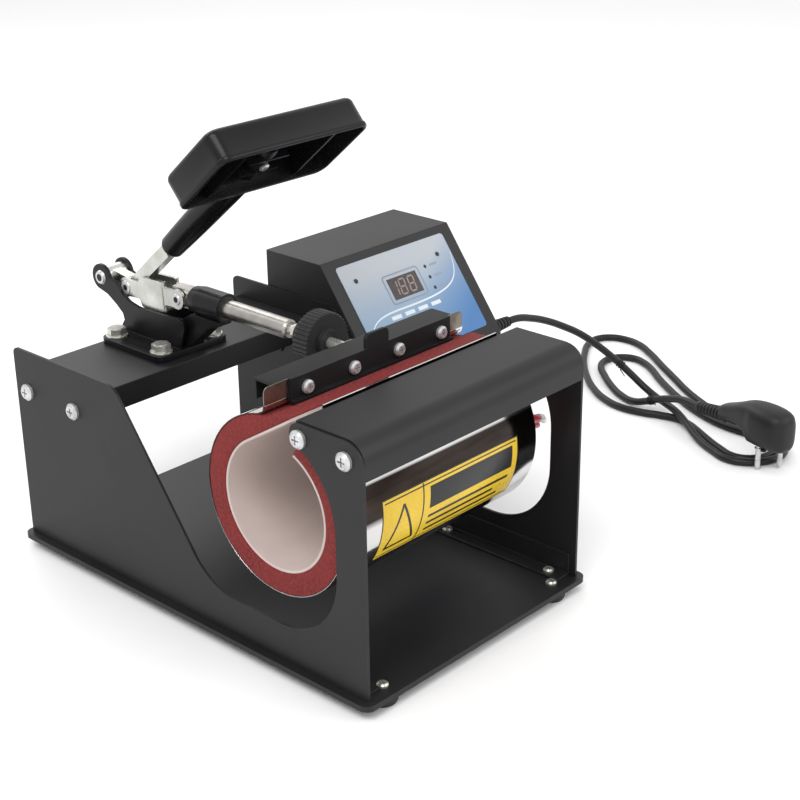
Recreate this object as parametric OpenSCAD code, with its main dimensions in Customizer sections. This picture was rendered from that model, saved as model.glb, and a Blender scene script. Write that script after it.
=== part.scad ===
// Mug heat press: sheet-steel frame, wrap-around heater, toggle clamp and control box.
// X runs from the open end of the heater towards the control box, Y to the rear, Z up.
// Sizes are in millimetres. The pieces are laid out from the left side plate's outer face
// and then moved so that the origin is the middle of the footprint, on the table.

/* [Frame] */
// Distance between the outer faces of the side plates
frame_w = 216; // [206:1:232]
// Thickness of the side plates and of the folded sheets
sheet_t = 2; // [1.5:0.1:2.5]
// Height of the rubber feet
foot_h = 9; // [8:0.5:9]
// How far the base sheet reaches past the side plates
base_rim = 6; // [4:1:10]

/* [Heater] */
// Radius of the mug space
mug_r = 44; // [40:0.5:44]
// Thickness of the cream heating mat
mat_t = 2; // [1.5:0.1:3]
// Length of the heater along the mug
heater_len = 189; // [170:1:195]
// Outer radius of the steel band
band_r = 62; // [61:0.5:62]
// Thickness of the steel band
band_t = 0.6; // [0.4:0.1:0.8]

/* [Toggle clamp] */
// Diameter of the steel plunger
plunger_d = 14; // [12:0.5:14]
// Radius of the pressure knob
knob_r = 20.5; // [16:0.5:22]
// Number of ridges on the pressure knob
knob_ridges = 40; // [24:1:48]
// Distance from the frame pivot to the knee rivet
lever_throw = 25.3; // [24:0.1:26]

/* [Handle] */
// Width of the T handle
handle_w = 134; // [100:1:140]
// Size of the T handle along the lever
handle_l = 66; // [50:1:68]
// Thickness of the T handle
handle_t = 25; // [18:0.5:26]

/* [Control box] */
// Width of the control box
box_w = 149.4; // [140:0.2:160]
// Height of the control box's underside above the table
box_floor = 52; // [46:1:60]
// Wall thickness of the control box
box_t = 1.5; // [1:0.1:2]

/* [Cord] */
// Diameter of the mains cord
cord_d = 6.5; // [6:0.1:8]

/* [Hidden] */

$fn = 48;
eps = 0.01;

// Heater
ring_y = -15;
ring_z = 119;
ring_x = 4.5;
sponge_r = band_r - band_t;
mat_r = mug_r + mat_t;
fixed_end_a = 115;
flap_a = 58.2;
flap_dir = [-sin(flap_a), cos(flap_a)];
flap_len = 50;
flap_step = 0.05;

// Frame
base_z = foot_h + sheet_t;
front_y = -99;
rear_y = 254;
mid_y = 77;
plate_z = 186.5;
rear_top_z = 161;
channel_z = 145;
channel_y0 = 167;
channel_y1 = 248;
cover_z = 187.7;
cover_y1 = -40.8;
rivet_z = 181.5;
foot_xs = [20.5, frame_w - 20.5];
foot_ys = [-92, 246];
base_screw_ys = [-81, 15, 111, 207];
rear_screw_at = [[186, 129], [240, 129]];
front_screw_at = [[-45, 176.2], [-84, 173.5]];
m6_r = 3;
m6_head_r = 6.2;
m6_head_h = 3.4;

// Route of the insulated lead from the heater's far end to the control box
lead_route = [[193.5, -68, 128], [204, -68, 128], [216, -66, 126], [226, -60, 120],
    [233, -46, 112], [237, -24, 104], [238, 4, 97], [238, 34, 91], [238, 64, 86],
    [238, 100, 84]];

// Toggle clamp, in the plane halfway along the beam
mid_x = 106;
rod_z = 188.4;
pivot_a = [268.6, 186.6];
knee_a = 188.19;
pivot_b = pivot_a + lever_throw * [cos(knee_a), sin(knee_a)];
pivot_c = [184.5, 186.6];
pin_r = 4;
pin_gap = 0.05;
link_len = norm(pivot_c - pivot_b);
link_tilt = atan2(pivot_c[1] - pivot_b[1], pivot_b[0] - pivot_c[0]);
bolt_dx = 24.5;
bolt_ys = [185.5, 237.5];
flange_t = 5;
m8_r = 4;
lever_half = 4.5;
link_in = 5;
link_out = 8;
cheek_in = 9;
cheek_out = 12;

// Lever arm and handle, measured along the arm from the knee
arm_a = 40.5;
arm_y = 243.6;
arm_z = 181.5;
arm_end = 60;
grip_s0 = 62.6;
handle_s0 = 171;
handle_drop = 2.5;

// Pressing beam
beam_x0 = 14;
beam_x1 = 183;
beam_y0 = -9;
beam_y1 = 9;
beam_z0 = 183.5;
beam_z1 = 198;
clamp_screw_xs = [40, 82.7, 125.4, 168];
clamp_screw_z = 189.5;

// Control box
box_x = frame_w;
box_y1 = 214.4;
box_top = 190.4;
slope_y = 154;
slope_len = 100.8;
slope_a = 53.8;
box_y0 = slope_y - slope_len * cos(slope_a);
slope_z0 = box_top - slope_len * sin(slope_a);
box_screw_ys = [box_y0 + 35, box_y1 - 20];
box_screw_z = box_floor + 8;
panel_screw_at = [[26, 21.7], [121, 22.7]];
button_xs = [51, 66, 82, 97];
lamp_x = 102;
lamp_s = [29, 38.5, 48];
button_s = 75;
gland_y = 117;
gland_z = 101;

// Mains cord: from the strain relief down to the table, and from the hank to the plug
cord_r = cord_d / 2;
relief_x0 = 372;
relief_x1 = 402;
cord_drop = [[402, 117, 101], [416, 117, 100], [434, 117, 95], [455, 116, 87],
    [475, 112, 77], [493, 106, 66], [508, 98, 53], [520, 87, 39], [528, 75, 26],
    [532, 62, 15], [530, 47, 9.5]];
cord_tail = [[517, 62, 5], [515, 47, 10], [513, 34, 16], [511, 20, 21], [508, 6, 25],
    [502.4, -13.7, 26.5]];
hank_rear = [600, 138];
hank_front = [504, -60];
hank_r = 50;
hank_h = 13.5;

// Plug: its neck and its pair of pins are turned differently, and the neck slopes down
plug_at = [483, -97];
neck_turn = 77;
neck_slope = 6;
pins_turn = 52;
plug_face_z = 19.5;
plug_head_r = 20;

// The part's origin: the middle of the footprint, the cord left out
base_y0 = -104;
boss_r = 10.4;
centre_x = (relief_x0 - base_rim) / 2;
centre_y = (base_y0 + pivot_a[0] + boss_r) / 2;

// ---- helpers ----

// Points of an arc round [y, z], from angle a0 to a1
function arc(y, z, r, a0, a1, n = 8) =
    [for (i = [0:n]) let (a = a0 + (a1 - a0) * i / n) [y + r * cos(a), z + r * sin(a)]];

// A profile drawn in Y and Z, made w thick along X from x
module across(x, w) {
    translate([x, 0, 0])
        rotate([90, 0, 90])
            linear_extrude(w)
                children();
}

// A round bar along X
module x_bar(x, w, y, z, r) {
    translate([x, y, z])
        rotate([0, 90, 0])
            cylinder(h = w, r = r);
}

// A round bar along Y
module y_bar(x, y, w, z, r, r2 = -1) {
    translate([x, y, z])
        rotate([-90, 0, 0])
            cylinder(h = w, r1 = r, r2 = r2 < 0 ? r : r2);
}

// Pan head screw pointing along -Z, its head's underside at the origin, with a cross recess
module pan_screw(head_r, head_h, r, length) {
    difference() {
        union() {
            cylinder(h = head_h * 0.55, r = head_r);
            translate([0, 0, head_h * 0.55])
                cylinder(h = head_h * 0.45, r1 = head_r, r2 = head_r * 0.72);
            translate([0, 0, -length])
                cylinder(h = length + eps, r = r);
        }
        for (a = [0, 90])
            rotate([0, 0, a])
                translate([-head_r * 0.5, -head_r * 0.09, head_h * 0.5])
                    cube([head_r, head_r * 0.18, head_h]);
    }
}

// Flat rectangle with rounded corners, centred
module rounded_rect(w, l, r) {
    union() {
        square([w - 2 * r, l], center = true);
        square([w, l - 2 * r], center = true);
        for (x = [-1, 1], y = [-1, 1])
            translate([x * (w / 2 - r), y * (l / 2 - r)])
                circle(r = r);
    }
}

// Moves layout positions to the part's origin
module placed() {
    translate([-centre_x, -centre_y, 0])
        children();
}

// Local frame of the toggle: Y and Z as in the layout, X from the toggle's middle plane
module toggle_frame() {
    placed()
        translate([mid_x, 0, 0])
            children();
}

// Local frame of the lever arm: Y along the arm towards the handle, Z square to it
module arm_frame() {
    toggle_frame()
        translate([0, arm_y, arm_z])
            rotate([-arm_a, 0, 0])
                rotate([0, 0, 180])
                    children();
}

// Local frame on the sloping panel: X to the right, Y up the slope, Z outwards.
// s is the distance down from the top edge.
module on_panel(x, s, h = 0) {
    placed()
        translate([box_x + x, slope_y - s * cos(slope_a), box_top - s * sin(slope_a)])
            rotate([slope_a, 0, 0])
                translate([0, 0, h])
                    children();
}

// ---- base ----

module base_plate() {
    w = frame_w + 2 * base_rim;
    l = 2 * (rear_y + 4 - mid_y);
    color("#1b1b1d")
        placed()
            translate([frame_w / 2, mid_y, 0])
                difference() {
                    translate([0, 0, base_z - 4])
                        linear_extrude(4)
                            rounded_rect(w, l, 7);
                    translate([0, 0, base_z - 5])
                        linear_extrude(5 - sheet_t)
                            rounded_rect(w - 2 * sheet_t, l - 2 * sheet_t, 5);
                    for (x = foot_xs, y = foot_ys)
                        translate([x - frame_w / 2, y - mid_y, 0])
                            cylinder(h = 20, r = 2.2);
                    for (x = [9.5, frame_w - 9.5], y = base_screw_ys)
                        translate([x - frame_w / 2, y - mid_y, 0])
                            cylinder(h = 20, r = 2.05);
                }
}

module base_angles() {
    color("#232325")
        placed()
            for (side = [0, 1])
                translate([side * frame_w, 0, 0])
                    mirror([side, 0, 0])
                        difference() {
                            translate([sheet_t, -94, base_z])
                                union() {
                                    cube([1.5, 342, 17]);
                                    cube([14, 342, 1.5]);
                                }
                            for (y = base_screw_ys)
                                translate([9.5, y, 0])
                                    cylinder(h = 20, r = 2.2);
                        }
}

module rubber_feet() {
    color("#141414")
        placed()
            for (x = foot_xs, y = foot_ys)
                translate([x, y, 0])
                    difference() {
                        union() {
                            cylinder(h = 2, r1 = 9, r2 = 10);
                            translate([0, 0, 2])
                                cylinder(h = foot_h - 2, r = 10);
                        }
                        translate([0, 0, 3])
                            cylinder(h = foot_h, r = 2.05);
                    }
}

module foot_screws() {
    color("silver")
        placed()
            for (x = foot_xs, y = foot_ys)
                translate([x, y, base_z])
                    pan_screw(4, 2.4, 2, base_z - 4);
}

module base_screws() {
    color("silver")
        placed()
            for (x = [9.5, frame_w - 9.5], y = base_screw_ys)
                translate([x, y, base_z + 1.5])
                    pan_screw(4, 2.4, 2, 3.4);
}

// ---- side plates ----

module side_profile() {
    difference() {
        polygon(concat(
            [[front_y, base_z], [rear_y, base_z]],
            arc(rear_y - 5, rear_top_z - 5, 5, 0, 90),
            arc(147, rear_top_z - 17, 17, 90, 143.7),
            arc(22, 87.5, 50, -36.3, -90, 10),
            arc(-22, 89.5, 52, 270, 180, 14),
            arc(ring_y, ring_z, 59, 180, 121, 12),
            arc(-45, plate_z - 8.5, 8.5, -93, 90, 12),
            arc(front_y + 15, plate_z - 15, 15, 90, 180)));
        for (p = concat(rear_screw_at, front_screw_at))
            translate(p)
                circle(r = m6_r + 0.3);
    }
}

module side_plate_left() {
    color("#2a2a2c")
        placed()
            across(0, sheet_t)
                side_profile();
}

module side_plate_right() {
    color("#2a2a2c")
        placed()
            across(frame_w - sheet_t, sheet_t)
                side_profile();
}

// ---- rear channel ----

module rear_channel() {
    w = frame_w - 2 * sheet_t;
    color("#242426")
        placed()
            difference() {
                translate([sheet_t, 0, 0])
                    union() {
                        translate([0, channel_y0, channel_z - sheet_t])
                            cube([w, channel_y1 - channel_y0, sheet_t]);
                        translate([0, channel_y0, channel_z - 18])
                            cube([w, sheet_t, 18]);
                        translate([0, channel_y1 - sheet_t, channel_z - 18])
                            cube([w, sheet_t, 18]);
                        for (x = [0, w - sheet_t])
                            translate([x, channel_y0, 117])
                                cube([sheet_t, channel_y1 - channel_y0, channel_z - 117]);
                    }
                for (p = rear_screw_at)
                    x_bar(0, frame_w, p[0], p[1], m6_r + 0.02);
                for (x = [-bolt_dx, bolt_dx], y = bolt_ys)
                    translate([mid_x + x, y, 100])
                        cylinder(h = 60, r = m8_r + 0.3);
            }
}

// Four M6 screws, two on each side, with their heads outside
module side_screws(places, reach) {
    color("silver")
        placed()
            for (p = places, side = [0, 1])
                translate([side * frame_w, p[0], p[1]])
                    mirror([side, 0, 0])
                        rotate([0, -90, 0])
                            pan_screw(m6_head_r, m6_head_h, m6_r, reach);
}

module rear_side_screws() {
    side_screws(rear_screw_at, 9);
}

module front_side_screws() {
    side_screws(front_screw_at, sheet_t * 2);
}

// ---- front cover ----

module cover_profile() {
    polygon(concat(
        [[cover_y1, 176.5]],
        arc(cover_y1 - 2, cover_z - 2, 2, 0, 90, 4),
        arc(front_y + 15, cover_z - 15, 15, 90, 180),
        [[front_y, 163], [front_y + sheet_t, 163]],
        arc(front_y + 15, cover_z - 15, 15 - sheet_t, 180, 90),
        [[cover_y1 - sheet_t, cover_z - sheet_t], [cover_y1 - sheet_t, 176.5]]));
}

module cover_flange_profile() {
    difference() {
        polygon(concat(
            [[cover_y1 - sheet_t, cover_z - sheet_t]],
            arc(front_y + 15, cover_z - 15, 15 - sheet_t, 90, 180),
            [[front_y + sheet_t, 163], [-54, 163]],
            arc(ring_y, ring_z, 58.6, 131.5, 118.5, 6)));
        for (p = front_screw_at)
            translate(p)
                circle(r = m6_r + 0.02);
    }
}

module front_cover() {
    color("#2c2c2e")
        placed()
            difference() {
                union() {
                    across(sheet_t, frame_w - 2 * sheet_t)
                        cover_profile();
                    across(sheet_t, sheet_t)
                        cover_flange_profile();
                    across(frame_w - 2 * sheet_t, sheet_t)
                        cover_flange_profile();
                }
                for (x = clamp_screw_xs)
                    y_bar(x, cover_y1 - 4, 6, rivet_z, 2.02);
                for (p = front_screw_at, x = [0, frame_w - 5])
                    x_bar(x, 5, p[0], p[1], m6_r + 0.05);
            }
}

// ---- heater ----

// The open wedge at the top, between the moving flap and the fixed end. Its r is a little
// more than the ring's, so that the flap's face doesn't run out tangent to the ring.
module slit(r) {
    start = r * [cos(flap_a), sin(flap_a)];
    polygon([[0, 0], start, start + 52 * flap_dir,
        72 * [cos(fixed_end_a), sin(fixed_end_a)]]);
}

module heater_mat() {
    inner = mug_r * [cos(flap_a), sin(flap_a)];
    outer = (mat_r - flap_step) * [cos(flap_a), sin(flap_a)];
    color("#e9e2d6")
        placed()
            translate([0, ring_y, ring_z])
                across(ring_x, heater_len)
                    difference() {
                        union() {
                            circle(r = mat_r, $fn = 96);
                            polygon([inner, outer, outer + flap_len * flap_dir,
                                inner + flap_len * flap_dir]);
                        }
                        circle(r = mug_r, $fn = 96);
                        slit(mug_r + flap_step);
                    }
}

module silicone_sponge() {
    root = mat_r * [cos(flap_a), sin(flap_a)];
    color("#8f2a2a")
        placed()
            translate([0, ring_y, ring_z])
                across(ring_x, heater_len)
                    difference() {
                        union() {
                            circle(r = sponge_r, $fn = 96);
                            polygon([root, [13, 60], [0, 61.8], [-4, 65.2],
                                root + flap_len * flap_dir]);
                        }
                        circle(r = mat_r, $fn = 96);
                        slit(mat_r + flap_step);
                    }
}

module heater_band() {
    moving_end_a = 76;
    strip_end_a = 112;
    strip_z = 175.2;
    color("#c9ccd0")
        placed()
            difference() {
                union() {
                    translate([0, ring_y, ring_z])
                        across(ring_x, heater_len)
                            difference() {
                                circle(r = band_r, $fn = 96);
                                circle(r = sponge_r, $fn = 96);
                                polygon([[0, 0], 80 * [cos(moving_end_a), sin(moving_end_a)],
                                    80 * [cos(strip_end_a), sin(strip_end_a)]]);
                            }
                    across(26, heater_len + ring_x - 26)
                        translate([cover_y1, strip_z])
                            square([band_t, cover_z + 1 - strip_z]);
                }
                for (x = clamp_screw_xs)
                    y_bar(x, cover_y1 - 4, 10, rivet_z, 2.02);
            }
}

module band_rivets() {
    tail = cover_y1 - sheet_t;
    color("silver")
        placed()
            for (x = clamp_screw_xs)
                union() {
                    y_bar(x, tail, sheet_t + band_t, rivet_z, 2);
                    y_bar(x, cover_y1 + band_t, 1.4, rivet_z, 3.4, 2.4);
                    y_bar(x, tail - 0.8, 0.8, rivet_z, 2.6);
                }
}

module front_label() {
    color("#f2d21a")
        placed()
            translate([0, ring_y, ring_z])
                across(39, 134.5)
                    intersection() {
                        difference() {
                            circle(r = band_r + 0.3, $fn = 96);
                            circle(r = band_r, $fn = 96);
                        }
                        polygon([[0, 0], 90 * [cos(170.5), sin(170.5)],
                            90 * [cos(192), sin(192)], 90 * [cos(215), sin(215)]]);
                    }
}

// Insulated lead from the heater's far end to the control box
module heater_lead() {
    color("#b3242c")
        placed()
            sweep(lead_route, 2.6, 10);
}

// ---- toggle clamp body, fixed to the channel ----

module toggle_web_profile() {
    polygon([[178, 149], [246, 149], [246, 155], [206, 156], [193, 164], [182, 171],
        [170, 178.5], [141, 178.5], [141, 175], [152, 171]]);
}

module cheek_profile() {
    difference() {
        polygon(concat(
            [[180, 149], [246.5, 149], [246.5, 154], [243.5, 158], [245, 163],
                [252, 168.5], [262, 174.5]],
            arc(pivot_a[0], pivot_a[1], boss_r, -62, 170, 20),
            [[251, 186], [243.5, 178], [236, 174], [226, 172], [200, 172.5],
                [180, 174], [174, 172], [173, 166]]));
        translate(pivot_a)
            circle(r = pin_r + 0.02);
    }
}

module toggle_body() {
    color("#161617")
        toggle_frame()
            difference() {
                union() {
                    translate([0, 211.5, channel_z])
                        linear_extrude(flange_t)
                            rounded_rect(68, 71, 7);
                    across(-6.5, 13)
                        toggle_web_profile();
                    for (x = [-cheek_out, cheek_in])
                        across(x, cheek_out - cheek_in)
                            cheek_profile();
                    y_bar(0, 137, 26, rod_z, 11);
                    y_bar(0, 163, 8, rod_z, 11, 9.8);
                }
                y_bar(0, 130, 50, rod_z, 9.02);
                for (x = [-bolt_dx, bolt_dx], y = bolt_ys)
                    translate([x, y, 100])
                        cylinder(h = 60, r = m8_r + 0.3);
            }
}

// Ring of flat hexagon heads, nuts or washers over the four fixing holes
module at_bolts(z) {
    toggle_frame()
        for (x = [-bolt_dx, bolt_dx], y = bolt_ys)
            translate([x, y, z])
                children();
}

module toggle_bolts() {
    top = channel_z + flange_t + 1.6;
    color("silver")
        at_bolts(top)
            union() {
                rotate([0, 0, 15])
                    cylinder(h = 5, r = 7.2, $fn = 6);
                translate([0, 0, 5])
                    cylinder(h = 0.5, r = 5.6);
                translate([0, 0, -20])
                    cylinder(h = 20 + eps, r = m8_r);
            }
}

module toggle_washers() {
    color("silver")
        at_bolts(channel_z + flange_t)
            difference() {
                cylinder(h = 1.6, r = 8.4);
                translate([0, 0, -1])
                    cylinder(h = 4, r = m8_r + 0.2);
            }
}

module toggle_nuts() {
    color("silver")
        at_bolts(channel_z - sheet_t - 6.5)
            difference() {
                cylinder(h = 6.5, r = 7.4, $fn = 6);
                translate([0, 0, -1])
                    cylinder(h = 9, r = m8_r + 0.02);
            }
}

module plunger_bushing() {
    color("#a98a4b")
        toggle_frame()
            difference() {
                y_bar(0, 137.5, 33, rod_z, 9);
                y_bar(0, 130, 50, rod_z, plunger_d / 2 + pin_gap);
            }
}

module frame_pivot_pin() {
    color("silver")
        toggle_frame()
            translate([0, pivot_a[0], pivot_a[1]])
                union() {
                    x_bar(-cheek_out, 2 * cheek_out, 0, 0, pin_r);
                    for (side = [0, 1])
                        mirror([side, 0, 0])
                            translate([cheek_out, 0, 0])
                                rotate([0, 90, 0])
                                    difference() {
                                        cylinder(h = 1.6, r1 = 5.6, r2 = 4.6);
                                        translate([0, 0, 0.8])
                                            cylinder(h = 2, r = 2.2);
                                    }
                }
}

// ---- carriage: plunger and pressing beam ----

module plunger() {
    tongue_z = rod_z - 6.8;
    color("#b9bbbd")
        toggle_frame()
            difference() {
                union() {
                    y_bar(0, 73, 97, rod_z, plunger_d / 2);
                    y_bar(0, 71.5, 1.5, rod_z, plunger_d / 2 - 1.2, plunger_d / 2);
                    intersection() {
                        y_bar(0, 169, 4, rod_z, plunger_d / 2);
                        translate([-lever_half, 160, 170])
                            cube([2 * lever_half, 20, 40]);
                    }
                    translate([-lever_half, 172, tongue_z])
                        cube([2 * lever_half, 20, 13.6]);
                }
                y_bar(0, 60, 37, rod_z, m8_r + pin_gap);
                translate([-10, pivot_c[0] - 8.4, pivot_c[1] - 3.4])
                    cube([20, 11.8, 8.4]);
            }
}

module pressing_beam() {
    w = beam_x1 - beam_x0;
    color("#1d1d1f")
        placed()
            difference() {
                translate([beam_x0, beam_y0, beam_z0])
                    difference() {
                        cube([w, beam_y1 - beam_y0, beam_z1 - beam_z0]);
                        translate([-1, sheet_t, -sheet_t])
                            cube([w + 2, beam_y1 - beam_y0 - 2 * sheet_t, beam_z1 - beam_z0]);
                    }
                for (x = clamp_screw_xs)
                    y_bar(x, beam_y0 - 1, 5, clamp_screw_z, 2.52);
                y_bar(mid_x, beam_y1 - 5, 8, rod_z, m8_r + pin_gap);
            }
}

module band_end_tab() {
    w = ring_x + heater_len - 5;
    color("#8e8478")
        placed()
            difference() {
                translate([5 + w / 2, beam_y0, 190.8])
                    rotate([90, 0, 0])
                        linear_extrude(band_t)
                            rounded_rect(w, 14.6, 4);
                for (x = clamp_screw_xs)
                    y_bar(x, beam_y0 - 3, 5, clamp_screw_z, 2.7);
            }
}

module clamp_plate() {
    front = beam_y0 - band_t;
    color("#19191a")
        placed()
            difference() {
                union() {
                    translate([26, front - 2.5, 181.8])
                        cube([152, 2.5, 16.7]);
                    translate([26, front - 5.4, 181.8])
                        cube([152, 3, 2]);
                    translate([94.5, front - 2.5, 198])
                        cube([21.5, 2.5, 6.5]);
                    translate([98.5, front - 2.5, 204])
                        cube([13.5, 2.5, 4.5]);
                    for (x = [98.5, 112])
                        y_bar(x, front - 2.5, 2.5, 204.5, 4);
                }
                for (x = clamp_screw_xs)
                    y_bar(x, front - 4, 8, clamp_screw_z, 2.7);
            }
}

module clamp_screws() {
    color("silver")
        placed()
            for (x = clamp_screw_xs)
                translate([x, beam_y0 - band_t - 2.5, clamp_screw_z])
                    rotate([90, 0, 0])
                        pan_screw(4.7, 3.2, 2.5, 7.5);
}

// ---- pressure adjuster ----

module adjust_stud() {
    color("silver")
        toggle_frame()
            y_bar(0, 1, 91, rod_z, m8_r);
}

// A collar and a nut hold the stud in the beam, and a lock nut sits behind the knob
module stud_nuts() {
    color("silver")
        toggle_frame()
            difference() {
                union() {
                    translate([0, beam_y1 - sheet_t - 6, rod_z])
                        rotate([-90, 0, 0])
                            cylinder(h = 5.7, r = 5.4, $fn = 6);
                    translate([0, beam_y1 + 0.3, rod_z])
                        rotate([-90, 0, 0])
                            cylinder(h = 6.5, r = 7.2, $fn = 6);
                    translate([0, 59.5, rod_z])
                        rotate([-90, 0, 0])
                            cylinder(h = 6, r = 7.2, $fn = 6);
                }
                y_bar(0, 0, 80, rod_z, m8_r + 0.02);
            }
}

module adjust_knob() {
    color("#141415")
        toggle_frame()
            difference() {
                union() {
                    translate([0, 36, rod_z])
                        rotate([-90, 0, 0])
                            linear_extrude(13)
                                polygon([for (i = [0:4 * knob_ridges - 1])
                                    let (r = i % 4 < 2 ? knob_r : knob_r - 1,
                                        a = 90 * i / knob_ridges)
                                        [r * cos(a), r * sin(a)]]);
                    y_bar(0, 49, 9, rod_z, 12);
                    y_bar(0, 33, 3, rod_z, 9);
                }
                y_bar(0, 30, 40, rod_z, m8_r + 0.02);
            }
}

// ---- lever and handle ----

module lever() {
    color("#c4c6c4")
        difference() {
            union() {
                toggle_frame()
                    union() {
                        x_bar(-8.8, 17.6, pivot_a[0], pivot_a[1], 7.6);
                        x_bar(-lever_half, 2 * lever_half, pivot_b[0], pivot_b[1], 7);
                        translate([-lever_half, pivot_b[0], pivot_b[1]])
                            rotate([knee_a - 180, 0, 0])
                                translate([0, 0, -6])
                                    cube([2 * lever_half, lever_throw, 12]);
                    }
                arm_frame()
                    union() {
                        translate([-lever_half, 0, -5])
                            cube([2 * lever_half, arm_end, 10]);
                        y_bar(0, arm_end - 1, handle_s0 + 31 - arm_end, 0, 4.4);
                    }
            }
            toggle_frame()
                for (p = [pivot_a, pivot_b])
                    x_bar(-20, 40, p[0], p[1], pin_r + pin_gap);
        }
}

module grip_sleeve() {
    color("#131314")
        arm_frame()
            difference() {
                union() {
                    y_bar(0, grip_s0, 3, 0, 6.5, 9.4);
                    y_bar(0, grip_s0 + 3, handle_s0 - grip_s0 - 3, 0, 9.4, 11);
                }
                y_bar(0, grip_s0 - 5, 130, 0, 4.5);
            }
}

module t_handle() {
    mid = handle_s0 + handle_l / 2;
    wall = 4;
    rib_xs = [-40, 40];
    color("#19191b")
        arm_frame()
            translate([0, 0, -handle_drop])
                difference() {
                    union() {
                        difference() {
                            translate([0, mid, -handle_t / 2])
                                linear_extrude(handle_t)
                                    rounded_rect(handle_w, handle_l, 9);
                            translate([0, mid, -handle_t / 2 - 1])
                                linear_extrude(handle_t - wall + 1)
                                    rounded_rect(handle_w - 2 * wall, handle_l - 2 * wall, 6);
                        }
                        for (x = rib_xs)
                            translate([x - 1.25, handle_s0 + 2, -handle_t / 2 + 3])
                                cube([2.5, handle_l - 4, handle_t - 5]);
                        y_bar(0, handle_s0 + 2, 36, handle_drop, 7.6);
                    }
                    y_bar(0, handle_s0 - 5, 36, handle_drop, 4.42);
                    translate([0, handle_s0 + 22, -handle_t])
                        cylinder(h = handle_t, r = 2.02);
                }
}

module handle_screw() {
    color("silver")
        arm_frame()
            translate([0, handle_s0 + 22, -7.8])
                rotate([180, 0, 0])
                    pan_screw(3.8, 2.2, 2, 3.2);
}

// ---- link ----

// Deep middle of the link's side plates, along the link from the knee
module link_belly() {
    polygon([[-15, -6], [-17.5, -12], [-20, -13], [-41, -13], [-43.5, -12], [-46, -6],
        [-46, 6], [-43.5, 10], [-41, 11], [-20, 11], [-17.5, 10], [-15, 6]]);
}

module link() {
    color("#c4c6c4")
        toggle_frame()
            translate([0, pivot_b[0], pivot_b[1]])
                rotate([-link_tilt, 0, 0])
                    difference() {
                        union() {
                            for (x = [-link_out, link_in])
                                translate([x, 0, 0]) {
                                    x_bar(0, link_out - link_in, 0, 0, 7.6);
                                    x_bar(0, link_out - link_in, -link_len, 0, 7.6);
                                    translate([0, -link_len, -6.6])
                                        cube([link_out - link_in, link_len, 13.2]);
                                    across(0, link_out - link_in)
                                        link_belly();
                                }
                            translate([-link_in - 1, -41, -13])
                                cube([2 * link_in + 2, 21, 2]);
                        }
                        x_bar(-20, 40, 0, 0, pin_r + 0.02);
                        x_bar(-20, 40, -link_len, 0, 3.02);
                    }
}

// A rivet along X with two thin domed heads
module rivet(at, r, head_r) {
    color("silver")
        toggle_frame()
            translate([0, at[0], at[1]])
                union() {
                    x_bar(-link_out, 2 * link_out, 0, 0, r);
                    for (side = [0, 1])
                        mirror([side, 0, 0])
                            translate([link_out, 0, 0])
                                rotate([0, 90, 0])
                                    cylinder(h = 0.7, r1 = head_r, r2 = head_r - 0.5);
                }
}

module knee_rivet() {
    rivet(pivot_b, pin_r, 5.4);
}

module nose_rivet() {
    rivet(pivot_c, 3, 4.4);
}

// ---- control box ----

module box_profile() {
    polygon([[box_y1, box_floor], [box_y1, box_top], [slope_y, box_top],
        [box_y0, slope_z0], [box_y0, box_floor]]);
}

// Folded shell, open at the rear and underneath
module control_box() {
    color("#2b2b2d")
        difference() {
            placed()
                difference() {
                    across(box_x, box_w)
                        box_profile();
                    across(box_x + box_t, box_w - 2 * box_t)
                        polygon([[box_y1 + 1, box_floor - 1], [box_y1 + 1, box_top - box_t],
                            [slope_y + 0.8, box_top - box_t], [box_y0 + box_t, slope_z0 - 0.8],
                            [box_y0 + box_t, box_floor - 1]]);
                    x_bar(box_x + box_w - 5, 10, gland_y, gland_z, 7.1);
                    x_bar(box_x - 5, 10, rear_screw_at[0][0], rear_screw_at[0][1],
                        m6_head_r + 0.3);
                    for (y = box_screw_ys)
                        x_bar(box_x + box_w - 5, 10, y, box_screw_z, 1.52);
                    translate([238, box_y0 - 5, 84])
                        rotate([-90, 0, 0])
                            cylinder(h = 10, r = 3.2);
                }
            on_panel(55.5, 47, -8)
                cube([34, 18, 16]);
            for (x = button_xs)
                on_panel(x, button_s, -8)
                    cylinder(h = 16, r = 3.4);
            for (s = lamp_s)
                on_panel(lamp_x, s, -8)
                    cylinder(h = 16, r = 1.6);
        }
}

// Rear and underside closed by one folded sheet
module box_back_cover() {
    w = box_w - 2 * box_t - 0.4;
    color("#29292b")
        placed()
            difference() {
                union() {
                    translate([box_x + box_t + 0.2, box_y1 - box_t, box_floor])
                        cube([w, box_t, box_top - box_floor - box_t - 0.2]);
                    translate([box_x + box_t + 0.2, box_y0 + box_t + 0.2, box_floor])
                        cube([w, box_y1 - box_y0 - box_t - 0.2, box_t]);
                    for (x = [box_x + box_t + 0.2, box_x + box_w - 2 * box_t - 0.2])
                        translate([x, box_y0 + 20, box_floor])
                            cube([box_t, box_y1 - box_y0 - 21, 14]);
                }
                translate([box_x + 105, box_y1 - 5, 75])
                    cube([20, 10, 14]);
                for (y = box_screw_ys)
                    x_bar(box_x + box_w - 8, 10, y, box_screw_z, 1.52);
                for (i = [0:5])
                    translate([box_x + 25 + 9 * i, box_y1 - 5, 80])
                        cube([3, 10, 40]);
            }
}

// Self-tapping screws through the right wall into the back cover's lips
module box_screws() {
    color("silver")
        placed()
            for (y = box_screw_ys)
                translate([box_x + box_w, y, box_screw_z])
                    rotate([0, 90, 0])
                        pan_screw(3.2, 1.8, 1.5, 2 * box_t + 0.6);
}

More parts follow.
